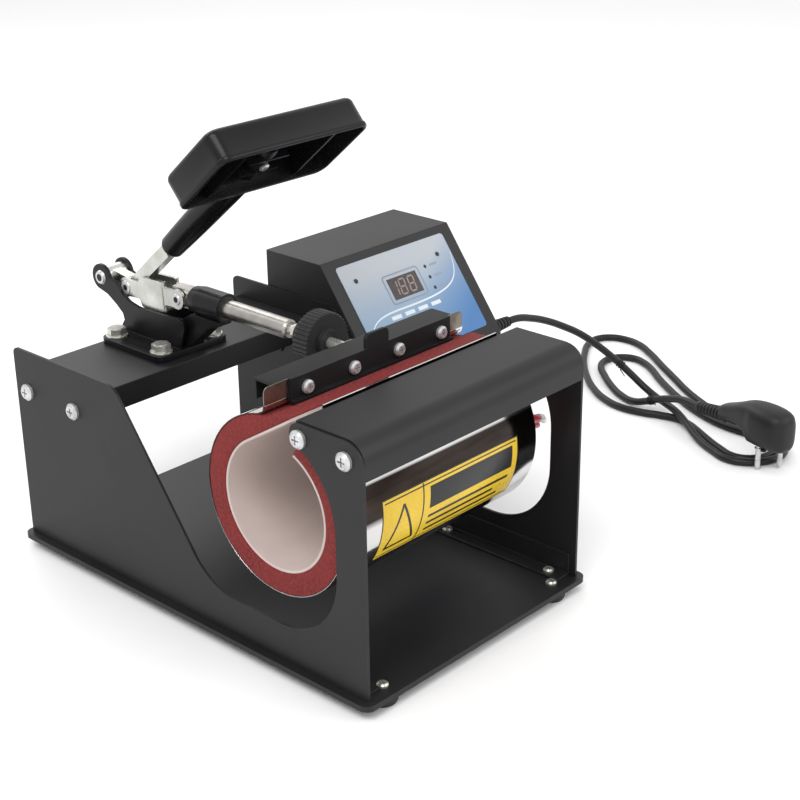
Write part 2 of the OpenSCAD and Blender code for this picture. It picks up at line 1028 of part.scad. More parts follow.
// Rivets that hold the box to the right side plate
module box_rivets() {
    color("#3a3a3c")
        placed()
            for (p = [[200, 66], [200, 112], [130, 66]])
                translate([frame_w - sheet_t, p[0], p[1]])
                    rotate([0, -90, 0])
                        cylinder(h = 1.2, r1 = 4, r2 = 3);
}

module membrane() {
    color("#8fb4d8")
        difference() {
            on_panel(74.5, 49.75, 0)
                linear_extrude(0.6)
                    rounded_rect(125, 85.5, 3);
            on_panel(55.5, 47, -8)
                cube([34, 18, 16]);
            for (x = button_xs)
                on_panel(x, button_s, -8)
                    cylinder(h = 16, r = 3.4);
            for (s = lamp_s)
                on_panel(lamp_x, s, -8)
                    cylinder(h = 16, r = 1.6);
            for (p = panel_screw_at)
                on_panel(p[0], p[1], -8)
                    cylinder(h = 16, r = 1.05);
        }
}

// Clear window that drops into the panel's cut-out
module display_window() {
    color("#5c4a48")
        on_panel(55.7, 46.8, -1.4)
            cube([33.6, 17.6, 1.8]);
}

module display_module() {
    color("#2b2322")
        on_panel(55.2, 47.3, -9.5)
            cube([34.6, 18.6, 7.6]);
}

module indicator_lamps() {
    color("#1c2733")
        for (s = lamp_s)
            on_panel(lamp_x, s, -6)
                union() {
                    cylinder(h = 6.4, r = 1.5);
                    cylinder(h = 2, r = 2);
                }
}

// A soft-topped key that travels square to the panel
module key(i) {
    color("#6d7f95")
        on_panel(button_xs[i], button_s, -2.2)
            union() {
                translate([0, 0, 0.4])
                    cylinder(h = 2.6, r = 3.1);
                translate([0, 0, 3])
                    cylinder(h = 0.4, r1 = 3.1, r2 = 2.5);
            }
}

module button_set() {
    key(0);
}

module button_down() {
    key(1);
}

module button_up() {
    key(2);
}

module button_enter() {
    key(3);
}

module panel_screws() {
    color("#3a4046")
        for (p = panel_screw_at)
            on_panel(p[0], p[1], 0.6)
                pan_screw(1.9, 0.9, 1, 0.5);
}

module circuit_board() {
    color("#1f5a35")
        difference() {
            on_panel(20, 90, -11.2)
                cube([112, 78, 1.6]);
            for (x = [25, 127], s = [18, 84])
                on_panel(x, s, -20)
                    cylinder(h = 16, r = 1.6);
        }
}

module power_relay() {
    color("#2457a6")
        on_panel(30, 80, -27.3)
            cube([28, 24, 16]);
}

module power_switch() {
    color("#101011")
        placed()
            translate([box_x + 105.2, box_y1, 75.2])
                difference() {
                    union() {
                        translate([0, -14, 0])
                            cube([19.6, 14, 13.6]);
                        translate([-1.4, 0, -1.2])
                            cube([22.4, 1.8, 16]);
                    }
                    translate([2, -7, 1.6])
                        cube([15.6, 10, 10.4]);
                }
}

module switch_rocker() {
    color("#8c1a1a")
        placed()
            translate([box_x + 115, box_y1 - 1, 82])
                union() {
                    difference() {
                        x_bar(-7.4, 14.8, 0, 0, 4.9);
                        translate([-10, 1.5, -10])
                            cube([20, 20, 20]);
                    }
                    rotate([8, 0, 0])
                        translate([-7.4, 0, -4.6])
                            cube([14.8, 3.2, 9.2]);
                }
}

// ---- mains cord ----

module cable_gland() {
    wall_x = box_x + box_w;
    color("#121213")
        placed()
            union() {
                x_bar(wall_x - 6, relief_x0 - wall_x + 6, gland_y, gland_z, 7);
                x_bar(wall_x, 4, gland_y, gland_z, 10);
                x_bar(wall_x - box_t - 4, 4, gland_y, gland_z, 9.5);
            }
}

module strain_relief() {
    color("#151516")
        placed()
            translate([relief_x0, gland_y, gland_z])
                rotate([0, 90, 0])
                    cylinder(h = relief_x1 - relief_x0, r1 = 6.2, r2 = 4.4);
}

// Frame of the sweep at point i: the unit direction, averaged over both neighbours
function unit(v) = v / norm(v);
function heading(p, i) =
    i == 0 ? unit(p[1] - p[0]) :
    i == len(p) - 1 ? unit(p[i] - p[i - 1]) :
    unit(unit(p[i] - p[i - 1]) + unit(p[i + 1] - p[i]));
function side_of(d) = unit(cross([0, 0, 1], d));

// Smooth points along a route by a Catmull-Rom curve, n to each stretch
function curve_at(a, b, c, d, t) =
    0.5 * ((2 * b) + (c - a) * t + (2 * a - 5 * b + 4 * c - d) * t * t
        + (3 * b - a - 3 * c + d) * t * t * t);
function smooth(p, n) = concat(
    [for (i = [0:len(p) - 2], k = [0:n - 1])
        curve_at(p[max(i - 1, 0)], p[i], p[i + 1], p[min(i + 2, len(p) - 1)], k / n)],
    [p[len(p) - 1]]);

// A round tube swept along a route as one closed polyhedron
module sweep(route, r, sides) {
    p = smooth(route, 2);
    n = len(p);
    points = [for (i = [0:n - 1])
        let (d = heading(p, i), u = side_of(d), v = cross(d, u))
            for (k = [0:sides - 1])
                p[i] + r * (cos(360 * k / sides) * u + sin(360 * k / sides) * v)];
    walls = [for (i = [0:n - 2], k = [0:sides - 1])
        let (a = i * sides, j = (k + 1) % sides)
            [a + j, a + k, a + sides + k, a + sides + j]];
    ends = [[for (k = [0:sides - 1]) k],
        [for (k = [sides - 1:-1:0]) (n - 1) * sides + k]];
    polyhedron(points, concat(walls, ends), convexity = 6);
}

module power_cord() {
    color("#1b1b1c")
        placed()
            union() {
                sweep(cord_drop, cord_r, 10);
                sweep(cord_tail, cord_r, 10);
            }
}

// Outer shape of the folded and tied part of the cord
module cord_hank() {
    run = hank_front - hank_rear;
    color("#1b1b1c")
        placed()
            translate([hank_rear[0], hank_rear[1], 0])
                rotate([0, 0, atan2(run[1], run[0])])
                    linear_extrude(hank_h)
                        union() {
                            circle(r = hank_r);
                            translate([norm(run), 0])
                                circle(r = hank_r);
                            translate([0, -hank_r])
                                square([norm(run), 2 * hank_r]);
                        }
}

// Right-angle two-pin plug, pins down
module plug() {
    neck_l = 54;
    color("#171718")
        placed()
            translate([plug_at[0], plug_at[1], plug_face_z])
                union() {
                    cylinder(h = 22, r = plug_head_r);
                    translate([0, 0, 22])
                        cylinder(h = 13, r1 = plug_head_r, r2 = 12);
                    rotate([0, 0, pins_turn])
                        for (y = [-9.5, 9.5])
                            translate([0, y, -19])
                                cylinder(h = 19 + eps, r = 2.4);
                    translate([0, 0, 16])
                        rotate([0, 90 + neck_slope, neck_turn])
                            union() {
                                cylinder(h = neck_l, r1 = 11, r2 = 8);
                                translate([0, 0, neck_l])
                                    cylinder(h = 32, r1 = 6.6, r2 = 4.4);
                            }
                }
}

base_plate();
base_angles();
rubber_feet();
foot_screws();
base_screws();
side_plate_left();
side_plate_right();
rear_channel();
rear_side_screws();
front_cover();
front_side_screws();
heater_mat();
silicone_sponge();
heater_band();
band_rivets();
front_label();
heater_lead();
toggle_body();
toggle_bolts();
toggle_washers();
toggle_nuts();
plunger_bushing();
frame_pivot_pin();
plunger();
pressing_beam();
band_end_tab();
clamp_plate();
clamp_screws();
adjust_stud();
stud_nuts();
adjust_knob();
lever();
grip_sleeve();
t_handle();
handle_screw();
link();
knee_rivet();
nose_rivet();
control_box();
box_back_cover();
box_screws();
box_rivets();
membrane();
display_window();
display_module();
indicator_lamps();
button_set();
button_down();
button_up();
button_enter();
panel_screws();
circuit_board();
power_relay();
power_switch();
switch_rocker();
cable_gland();
strain_relief();
power_cord();
cord_hank();
plug();
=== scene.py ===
import math

import bmesh
import bpy
from mathutils import Matrix, Vector


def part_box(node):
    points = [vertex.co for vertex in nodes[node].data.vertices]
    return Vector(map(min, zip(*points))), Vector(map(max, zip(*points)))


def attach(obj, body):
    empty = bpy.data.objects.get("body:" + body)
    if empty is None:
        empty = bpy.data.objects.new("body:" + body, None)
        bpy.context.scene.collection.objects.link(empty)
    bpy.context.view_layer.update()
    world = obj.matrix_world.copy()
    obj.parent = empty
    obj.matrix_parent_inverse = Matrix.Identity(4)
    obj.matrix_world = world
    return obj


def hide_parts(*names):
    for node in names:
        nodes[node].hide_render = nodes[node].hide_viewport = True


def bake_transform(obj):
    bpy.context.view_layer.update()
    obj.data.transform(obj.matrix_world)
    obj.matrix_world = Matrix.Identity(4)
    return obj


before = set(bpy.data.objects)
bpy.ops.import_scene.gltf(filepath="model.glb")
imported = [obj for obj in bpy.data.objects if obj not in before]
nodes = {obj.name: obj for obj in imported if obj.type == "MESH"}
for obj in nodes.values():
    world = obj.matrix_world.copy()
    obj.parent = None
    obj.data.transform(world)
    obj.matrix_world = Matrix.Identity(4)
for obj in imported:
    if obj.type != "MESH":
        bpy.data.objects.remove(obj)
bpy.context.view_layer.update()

# The layout of the press, in millimetres, as in the part's own source: x to the right from
# the left side plate's outer face, y to the rear, where that plate's front edge is at
# PLATE_FRONT, and z up from the table.
PLATE_FRONT = -99
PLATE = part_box("side_plate_left")
MM = 0.001
UP = Vector((0, 0, 1))


def at(x, y, z):
    """A place in the layout, as a point in the row frame, in metres."""
    return Vector((PLATE[0].x + x * MM, PLATE[0].y + (y - PLATE_FRONT) * MM, z * MM))


# ---- camera: its place in metres, its lens and sensor in millimetres ----

CAMERA_AT = (-0.7947, -0.7846, 0.5799)
CAMERA_YAW = math.radians(47.13)
CAMERA_PITCH = math.radians(23.01)
CAMERA_ROLL = -0.013
CAMERA_LENS = 72.6
CAMERA_SENSOR = 36
CAMERA_CLIP = (0.02, 60)


def make_camera():
    """A camera that looks along its yaw and pitch, turned a little about that line."""
    forward = Vector((math.sin(CAMERA_YAW) * math.cos(CAMERA_PITCH),
                      math.cos(CAMERA_YAW) * math.cos(CAMERA_PITCH),
                      -math.sin(CAMERA_PITCH)))
    level = Vector((math.cos(CAMERA_YAW), -math.sin(CAMERA_YAW), 0))
    above = level.cross(forward)
    cos_roll, sin_roll = math.cos(CAMERA_ROLL), math.sin(CAMERA_ROLL)
    right = cos_roll * level + sin_roll * above
    up = -sin_roll * level + cos_roll * above
    data = bpy.data.cameras.new("camera")
    data.lens = CAMERA_LENS
    data.sensor_width = CAMERA_SENSOR
    data.clip_start, data.clip_end = CAMERA_CLIP
    camera = bpy.data.objects.new("camera", data)
    turn = Matrix((right, up, -forward)).transposed()
    camera.matrix_world = Matrix.Translation(CAMERA_AT) @ turn.to_4x4()
    bpy.context.scene.collection.objects.link(camera)
    bpy.context.scene.camera = camera


make_camera()

# ---- materials ----


class Nodes:
    """A material's node tree, with short calls for the nodes that the finishes share."""

    def __init__(self, name):
        self.material = bpy.data.materials.new(name)
        self.material.use_nodes = True
        self.tree = self.material.node_tree
        self.shader = self.tree.nodes["Principled BSDF"]
        self.place = self.add("ShaderNodeTexCoord").outputs["Object"]

    def add(self, kind, **settings):
        node = self.tree.nodes.new(kind)
        for key, value in settings.items():
            setattr(node, key, value)
        return node

    def join(self, source, target):
        self.tree.links.new(source, target)

    def noise(self, scale, detail=3, stretch=(1, 1, 1)):
        """A noise in object space, finer with its scale and along the stretched axes."""
        node = self.add("ShaderNodeTexNoise")
        node.inputs["Scale"].default_value = scale
        node.inputs["Detail"].default_value = detail
        mapping = self.add("ShaderNodeMapping")
        mapping.inputs["Scale"].default_value = stretch
        self.join(self.place, mapping.inputs["Vector"])
        self.join(mapping.outputs["Vector"], node.inputs["Vector"])
        return node.outputs["Fac"]

    def ramp(self, source, low, high, a=0, b=1):
        """Runs from a to b while the source runs from low to high, and stays there."""
        node = self.add("ShaderNodeMapRange")
        node.inputs["From Min"].default_value = low
        node.inputs["From Max"].default_value = high
        node.inputs["To Min"].default_value = a
        node.inputs["To Max"].default_value = b
        self.join(source, node.inputs["Value"])
        return node.outputs["Result"]

    def mix(self, factor, a, b):
        """Colour a where the factor is 0 and colour b where it is 1."""
        node = self.add("ShaderNodeMix", data_type="RGBA")
        for value, socket in ((a, node.inputs[6]), (b, node.inputs[7])):
            if isinstance(value, bpy.types.NodeSocket):
                self.join(value, socket)
            else:
                socket.default_value = (*value, 1)
        self.join(factor, node.inputs[0])
        return node.outputs[2]

    def drift(self, noise, a, b):
        """A colour that drifts between a and b as a noise goes through its middle range."""
        return self.mix(self.ramp(noise, 0.3, 0.7), a, b)

    def paint(self, colour):
        """Gives the surface a colour."""
        self.join(colour, self.shader.inputs["Base Color"])

    def roughen(self, source, low, high, smooth, rough):
        """Lets the roughness run from smooth to rough while the source runs low to high."""
        self.join(self.ramp(source, low, high, smooth, rough), self.shader.inputs["Roughness"])

    def bump(self, height, strength, distance):
        node = self.add("ShaderNodeBump")
        node.inputs["Strength"].default_value = strength
        node.inputs["Distance"].default_value = distance
        self.join(height, node.inputs["Height"])
        self.join(node.outputs["Normal"], self.shader.inputs["Normal"])

    def rubbed(self, radius=0.0005):
        """How far a point lies on an edge that hands and handling have rubbed, 0 to 1."""
        soft = self.add("ShaderNodeBevel", samples=3)
        soft.inputs["Radius"].default_value = radius
        flat = self.add("ShaderNodeNewGeometry")
        dot = self.add("ShaderNodeVectorMath", operation="DOT_PRODUCT")
        self.join(soft.outputs["Normal"], dot.inputs[0])
        self.join(flat.outputs["Normal"], dot.inputs[1])
        edge = self.ramp(dot.outputs["Value"], 0.97, 0.8)
        both = self.add("ShaderNodeMath", operation="MULTIPLY")
        self.join(edge, both.inputs[0])
        patches = self.ramp(self.noise(60, 4), 0.42, 0.7, 0.1, 0.8)
        self.join(patches, both.inputs[1])
        return both.outputs["Value"]

    def set(self, **values):
        """Sets the shader's own sockets, an underscore standing for a space."""
        for key, value in values.items():
            self.shader.inputs[key.replace("_", " ")].default_value = value


GLOSS_SPREAD = 0.06


def finish(name, light, dark, rough, metal=0.0, grain=900, stretch=(1, 1, 1), bump=0.15,
           depth=0.0002, patch=14, wear=None, **extra):
    """A finish whose colour drifts in broad patches and whose gloss follows a fine grain.

    With wear, its edges are rubbed towards that colour, more in some places than others.
    """
    n = Nodes(name)
    broad = n.noise(patch, 4)
    fine = n.noise(grain, 3, stretch)
    colour = n.drift(broad, dark, light)
    if wear:
        colour = n.mix(n.rubbed(), colour, wear)
    n.paint(colour)
    n.roughen(fine, 0.25, 0.75, rough - GLOSS_SPREAD, rough + GLOSS_SPREAD)
    n.bump(fine, bump, depth)
    n.set(Metallic=metal, **extra)
    return n.material


POWDER = finish("powder_coat", (0.011, 0.0105, 0.0115), (0.007, 0.007, 0.008), 0.47,
                grain=2200, bump=0.1, depth=0.0001, wear=(0.05, 0.05, 0.05),
                Specular_IOR_Level=0.34)
BOX_PAINT = finish("box_paint", (0.011, 0.011, 0.012), (0.007, 0.007, 0.008), 0.5,
                   grain=2400, bump=0.1, depth=0.0001, wear=(0.06, 0.06, 0.06),
                   Specular_IOR_Level=0.42)
CASTING = finish("black_casting", (0.008, 0.008, 0.009), (0.004, 0.004, 0.005), 0.34,
                 grain=700, bump=0.08, depth=0.0002, wear=(0.08, 0.08, 0.08),
                 Specular_IOR_Level=0.22)
MATT_BAR = finish("matt_black_bar", (0.008, 0.008, 0.009), (0.005, 0.005, 0.005), 0.52,
                  grain=1500, bump=0.08, depth=0.0001, wear=(0.07, 0.07, 0.07),
                  Specular_IOR_Level=0.25)
BUSHING = finish("dark_bushing", (0.020, 0.017, 0.014), (0.010, 0.009, 0.008), 0.4,
                 grain=900)
RUBBER = finish("foot_rubber", (0.016, 0.016, 0.016), (0.010, 0.010, 0.010), 0.7, grain=1500)
ZINC = finish("zinc_plate", (0.66, 0.65, 0.60), (0.46, 0.45, 0.41), 0.3, metal=0.8,
              grain=1200, bump=0.04, depth=0.00005, patch=90)
BRIGHT = finish("bright_nickel", (0.66, 0.66, 0.67), (0.44, 0.44, 0.45), 0.3, metal=0.62,
                grain=1500, bump=0.03, depth=0.00005, patch=160)
TURNED = finish("turned_steel", (0.50, 0.48, 0.45), (0.28, 0.27, 0.25), 0.34, metal=1.0,
                grain=900, stretch=(0.15, 6, 0.15), bump=0.12, depth=0.00008, patch=60)
PRESSED = finish("pressed_steel", (0.66, 0.66, 0.62), (0.46, 0.46, 0.43), 0.3, metal=1.0,
                 grain=420, stretch=(1, 1, 4), bump=0.1, depth=0.00015, patch=50)
# Painted reflection: the tab's steel is given a dark warm colour for the surroundings that it
# mirrors
TAB_PAINTED_REFLECTION = finish("tab_steel_painted_reflection", (0.36, 0.32, 0.27), (0.15, 0.13, 0.10), 0.34, metal=1.0,
                   grain=600, patch=70, bump=0.12)
KNOB = finish("knob_plastic", (0.008, 0.008, 0.009), (0.005, 0.005, 0.005), 0.55, grain=1300)
HANDLE = finish("handle_plastic", (0.007, 0.007, 0.008), (0.004, 0.004, 0.0045), 0.24,
                grain=1100, bump=0.04, depth=0.0001, Specular_IOR_Level=0.2)
CREAM = finish("cream_mat", (0.54, 0.455, 0.425), (0.46, 0.375, 0.345), 0.5, grain=700,
               bump=0.1, patch=20)
RED_LEAD = finish("red_lead", (0.50, 0.02, 0.04), (0.36, 0.015, 0.03), 0.35, grain=900)
SLEEVE = finish("glass_sleeve", (0.80, 0.79, 0.76), (0.68, 0.67, 0.64), 0.6, grain=1600,
                stretch=(1, 3, 3), bump=0.5, depth=0.0003)
CORD_PVC = finish("cord_sheath", (0.010, 0.010, 0.011), (0.006, 0.006, 0.007), 0.42,
                  grain=1500, bump=0.12, patch=40, Specular_IOR_Level=0.3)
PLUG_PVC = finish("plug_moulding", (0.012, 0.012, 0.013), (0.008, 0.008, 0.009), 0.46,
                  grain=1500, bump=0.15, Specular_IOR_Level=0.3)
BOARD = finish("board", (0.03, 0.16, 0.06), (0.02, 0.11, 0.04), 0.4, grain=500)
RELAY = finish("relay_case", (0.02, 0.11, 0.38), (0.015, 0.08, 0.30), 0.35, grain=700)
NYLON = finish("black_nylon", (0.014, 0.014, 0.014), (0.010, 0.010, 0.010), 0.45, grain=1200)
ROCKER = finish("rocker_red", (0.36, 0.02, 0.02), (0.27, 0.015, 0.015), 0.3, grain=900)
GLASS = finish("tinted_window", (0.040, 0.026, 0.024), (0.026, 0.017, 0.016), 0.16,
               grain=300, bump=0.02, Coat_Weight=0.5, Coat_Roughness=0.05)
SEGMENT = finish("unlit_segment", (0.30, 0.23, 0.20), (0.24, 0.18, 0.16), 0.4, grain=800)
LAMP = finish("unlit_lamp", (0.012, 0.022, 0.036), (0.008, 0.014, 0.024), 0.2, grain=600)
KEY = finish("key_dome", (0.16, 0.22, 0.32), (0.12, 0.17, 0.26), 0.4, grain=900)
DARK_SCREW = finish("dark_screw", (0.05, 0.06, 0.07), (0.03, 0.035, 0.045), 0.35, metal=0.6,
                    grain=900)
PRINT_WHITE = finish("print_white", (0.62, 0.68, 0.74), (0.56, 0.62, 0.68), 0.38, grain=900)
PRINT_GREY = finish("print_grey", (0.22, 0.27, 0.33), (0.18, 0.22, 0.28), 0.4, grain=900)
PRINT_FRAME = finish("print_frame", (0.22, 0.26, 0.31), (0.17, 0.20, 0.25), 0.36, grain=900)
YELLOW = finish("label_yellow", (0.80, 0.55, 0.035), (0.70, 0.46, 0.025), 0.3, grain=600,
                bump=0.05, patch=30)
LABEL_INK = finish("label_ink", (0.012, 0.012, 0.012), (0.008, 0.008, 0.008), 0.32, grain=600)


def sponge_material():
    """Brick-red silicone sponge: fine closed cells in colour and in relief."""
    n = Nodes("red_sponge")
    cells = n.add("ShaderNodeTexVoronoi")
    cells.inputs["Scale"].default_value = 900
    n.join(n.place, cells.inputs["Vector"])
    grain = n.noise(520, 6)
    broad = n.noise(30, 4)
    base = n.drift(broad, (0.105, 0.012, 0.013), (0.150, 0.018, 0.018))
    n.paint(n.mix(n.ramp(grain, 0.35, 0.65), base, (0.21, 0.030, 0.028)))
    n.roughen(grain, 0.3, 0.7, 0.75, 0.95)
    n.bump(cells.outputs["Distance"], 0.5, 0.0004)
    n.set(Specular_IOR_Level=0.25)
    return n.material


SPONGE = sponge_material()


def mirror_material():
    """Polished stainless band: bright, with a painted dark reflection in a stripe front and
    rear.

    The painted reflection lies where the outward direction leans between level and about 22
    degrees up; just above it the plain steel colour comes back as a thin painted highlight.
    """
    n = Nodes("mirror_band")
    surface = n.add("ShaderNodeNewGeometry")
    parts = n.add("ShaderNodeSeparateXYZ")
    n.join(surface.outputs["Normal"], parts.inputs["Vector"])
    steep = parts.outputs["Z"]
    # Painted reflection and highlight: a dark warm tone is painted on the steel where it faces
    # between level and about 22 degrees up, and the plain steel colour just above it stands as
    # a thin painted highlight
    streak_noise = n.noise(26, 5, (0.5, 2, 2))
    painted_dark_reflection = n.drift(streak_noise, (0.016, 0.011, 0.009), (0.060, 0.047, 0.040))
    bright = n.drift(streak_noise, (0.62, 0.61, 0.60), (0.80, 0.80, 0.80))
    above = n.mix(n.ramp(steep, 0.366, 0.388), painted_dark_reflection, bright)
    n.paint(n.mix(n.ramp(steep, 0.0, -0.08), above, bright))
    fine = n.noise(500, 3, (0.06, 3, 3))
    n.roughen(fine, 0.25, 0.75, 0.07, 0.15)
    n.bump(fine, 0.03, 0.00005)
    n.set(Metallic=1.0)
    return n.material


MIRROR = mirror_material()

# ---- control panel's own frame ----

# The left end of the panel's upper edge, and the panel's slope
PANEL_TOP = (216, 154, 190.4)
SLOPE_A = math.radians(53.8)
PANEL_RIGHT = Vector((1, 0, 0))
PANEL_UP = Vector((0, math.cos(SLOPE_A), math.sin(SLOPE_A)))
PANEL_OUT = Vector((0, -math.sin(SLOPE_A), math.cos(SLOPE_A)))


def on_panel(u, s, h=0.0):
    """A place u mm right, s mm down and h mm off the sloping panel's top left corner."""
    return at(*PANEL_TOP) + (PANEL_RIGHT * u - PANEL_UP * s + PANEL_OUT * h) * MM


def film_material():
    """The panel's printed film: light grey at the top, blue towards the lower right."""
    n = Nodes("panel_film")
    from_corner = n.add("ShaderNodeVectorMath", operation="SUBTRACT")
    n.join(n.place, from_corner.inputs[0])
    from_corner.inputs[1].default_value = on_panel(0, 0)

    def along(direction):
        """How far a point lies from the panel's corner along a direction, in metres."""
        dot = n.add("ShaderNodeVectorMath", operation="DOT_PRODUCT")
        n.join(from_corner.outputs["Vector"], dot.inputs[0])
        dot.inputs[1].default_value = direction
        return dot.outputs["Value"]

    down = along(-PANEL_UP)
    slant = along(-PANEL_UP * 0.8 + PANEL_RIGHT * 0.6)
    pale = n.mix(n.ramp(down, 0.02, 0.075), (0.37, 0.40, 0.435), (0.15, 0.27, 0.42))
    n.paint(n.mix(n.ramp(slant, 0.085, 0.14), pale, (0.04, 0.15, 0.36)))
    fine = n.noise(1600, 2)
    n.roughen(fine, 0.3, 0.7, 0.32, 0.42)
    n.bump(fine, 0.06, 0.0001)
    return n.material


FILM = film_material()

NODE_FINISH = {
    POWDER: ["base_plate", "base_angles", "side_plate_left", "side_plate_right",
             "rear_channel", "front_cover"],
    BOX_PAINT: ["control_box", "box_back_cover"],
    RUBBER: ["rubber_feet"],
    ZINC: ["foot_screws", "base_screws", "toggle_bolts", "toggle_washers", "toggle_nuts",
           "handle_screw", "stud_nuts", "box_screws", "band_rivets", "adjust_stud"],
    BRIGHT: ["rear_side_screws", "front_side_screws", "clamp_screws", "frame_pivot_pin",
             "knee_rivet", "nose_rivet"],
    TAB_PAINTED_REFLECTION: ["band_end_tab"],
    CASTING: ["toggle_body", "box_rivets"],
    MATT_BAR: ["pressing_beam", "clamp_plate"],
    BUSHING: ["plunger_bushing"],
    TURNED: ["plunger"],
    PRESSED: ["lever", "link"],
    KNOB: ["adjust_knob"],
    FILM: ["membrane"],
    GLASS: ["display_window", "display_module"],
    LAMP: ["indicator_lamps"],
    KEY: ["button_set", "button_down", "button_up", "button_enter"],
    DARK_SCREW: ["panel_screws"],
    BOARD: ["circuit_board"],
    RELAY: ["power_relay"],
    NYLON: ["power_switch", "cable_gland"],
    ROCKER: ["switch_rocker"],
}
# Edge radius of the parts whose edges catch the light, in millimetres
EDGE = {"side_plate_left": 0.5, "side_plate_right": 0.5, "front_cover": 0.5,
        "rear_channel": 0.6, "base_plate": 0.6, "base_angles": 0.4, "control_box": 0.6,
        "box_back_cover": 0.4, "toggle_body": 0.9, "pressing_beam": 0.6, "clamp_plate": 0.5,
        "band_end_tab": 0.15, "lever": 0.5, "link": 0.2, "adjust_knob": 0.3, "plunger": 0.3,
        "toggle_bolts": 0.35, "toggle_nuts": 0.35, "toggle_washers": 0.25, "stud_nuts": 0.35,
        "rubber_feet": 0.5, "power_switch": 0.4, "switch_rocker": 0.4, "cable_gland": 0.4,
        "power_relay": 0.5, "display_window": 0.15}
EDGE_FROM = math.radians(38)
WELD_GAP = 1e-6


def finish_cad_nodes():
    """Gives the CAD nodes that stay in view their materials, and rounds some edges."""
    for material, names in NODE_FINISH.items():
        for name in names:
            slots = nodes[name].data.materials
            for i in range(len(slots)):
                slots[i] = material
            if not slots:
                slots.append(material)
    for name, radius in EDGE.items():
        weld = nodes[name].modifiers.new("weld", "WELD")
        weld.merge_threshold = WELD_GAP
        bevel = nodes[name].modifiers.new("edge", "BEVEL")
        bevel.width = radius * MM
        bevel.segments = 2
        bevel.limit_method = "ANGLE"
        bevel.angle_limit = EDGE_FROM
        bevel.use_clamp_overlap = True
        even = nodes[name].modifiers.new("even", "WEIGHTED_NORMAL")
        even.keep_sharp = False


finish_cad_nodes()

# ---- mesh helpers ----


class Builder:
    """Collects closed shapes, and makes them one object with one or more materials."""

    def __init__(self):
        self.points = []
        self.faces = []
        self.slots = []

    def loft(self, rings, slot=0, close=False):
        """Skins closed rings of equal length, with a cap at each end, or end to end."""
        start = len(self.points)
        size = len(rings[0])
        last = len(rings) - 1
        for ring in rings:
            self.points += [Vector(p) for p in ring]
        for i in range(last + 1 if close else last):
            a = start + i * size
            b = start + (0 if i == last else i + 1) * size
            for k in range(size):
                j = (k + 1) % size
                self.faces.append((a + k, a + j, b + j, b + k))
                self.slots.append(slot)
        if not close:
            self.faces.append(tuple(start + k for k in reversed(range(size))))
            self.faces.append(tuple(start + last * size + k for k in range(size)))
            self.slots += [slot, slot]

    def build(self, name, materials, angle=40):
        """Makes the object, smooth but for edges sharper than the angle in degrees."""
        mesh = bpy.data.meshes.new(name)
        mesh.from_pydata([tuple(p) for p in self.points], [], self.faces)
        for material in materials:
            mesh.materials.append(material)
        mesh.polygons.foreach_set("material_index", self.slots)
        mesh.polygons.foreach_set("use_smooth", [True] * len(self.faces))
        work = bmesh.new()
        work.from_mesh(mesh)
        bmesh.ops.recalc_face_normals(work, faces=work.faces)
        work.to_mesh(mesh)
        work.free()
        mesh.set_sharp_from_angle(angle=math.radians(angle))
        piece = bpy.data.objects.new(name, mesh)
        bpy.context.scene.collection.objects.link(piece)
        return piece


def circle_ring(place, radius, u, v, count):
    """A ring of points round a place, in the plane of u and v."""
    turns = [2 * math.pi * k / count for k in range(count)]
    return [place + (u * math.cos(t) + v * math.sin(t)) * radius for t in turns]


def lathe(builder, origin, axis, profile, slot=0, count=40):
    """Turns a profile of (distance along the axis, radius), in mm, into a closed solid."""
    axis = axis.normalized()
    u = axis.orthogonal().normalized()
    v = axis.cross(u)
    builder.loft([circle_ring(origin + axis * (d * MM), r * MM, u, v, count)
                  for d, r in profile], slot)


# ---- mains cord ----

CORD_D = 6.5
# From the strain relief over the table and back up into the plug
CORD_ROUTE = [
    (402, 117, 101), (416, 117, 100), (434, 117, 95), (455, 116, 87), (475, 112, 77),
    (493, 106, 66), (508, 98, 53), (520, 87, 39), (528, 75, 26), (532, 62, 15),
    (530, 47, 9.5), (522, 30, 9.5), (511, 11, 10), (499, -7, 8), (487, -26, 4.5),
    (477, -46, 3.3), (470, -67, 3.3), (475, -81, 3.3), (486, -91, 3.3), (500, -96, 3.3),
    (514, -94, 3.3), (527, -86, 3.3), (535, -74, 3.3), (538, -60, 3.3), (539, -42, 3.3),
    (543, -22, 3.3), (550, -1, 3.3), (560, 20, 3.3), (573, 42, 3.3), (590, 66, 3.3),
    (609, 93, 3.3), (630, 122, 3.3), (642, 143, 3.3), (645, 161, 3.3), (640, 176, 3.3),
    (627, 184, 3.3), (609, 181, 3.3), (589, 170, 3.3), (566, 154, 3.3), (543, 134, 3.3),
    (523, 112, 3.3), (508, 88, 3.3), (502, 66, 3.3), (504, 46, 3.3), (510, 28, 3.3),
    (513, 12, 3.3), (510, -1, 3.3), (504, -13, 3.3), (494, -30, 3.3), (484, -49, 3.3),
    (478, -67, 3.3), (481, -77, 3.3), (489, -84, 3.3), (500, -88, 3.3), (511, -86, 3.3),
    (520, -80, 3.3), (526, -71, 3.3), (528, -60, 3.3), (527, -44, 3.3), (528, -26, 3.3),
    (533, -6, 3.3), (541, 14, 3.3), (552, 35, 3.3), (566, 57, 3.3), (581, 78, 3.3),
    (597, 98, 3.3), (605, 112, 3.3), (608, 125, 3.3), (603, 136, 3.3), (593, 142, 3.3),
    (581, 142, 3.3), (569, 136, 3.3), (554, 121, 3.3), (538, 102, 3.3), (525, 82, 3.3),
    (517, 62, 5), (515, 47, 10), (513, 34, 16), (511, 20, 21), (508, 6, 25),
    (502.4, -13.7, 26.5)]


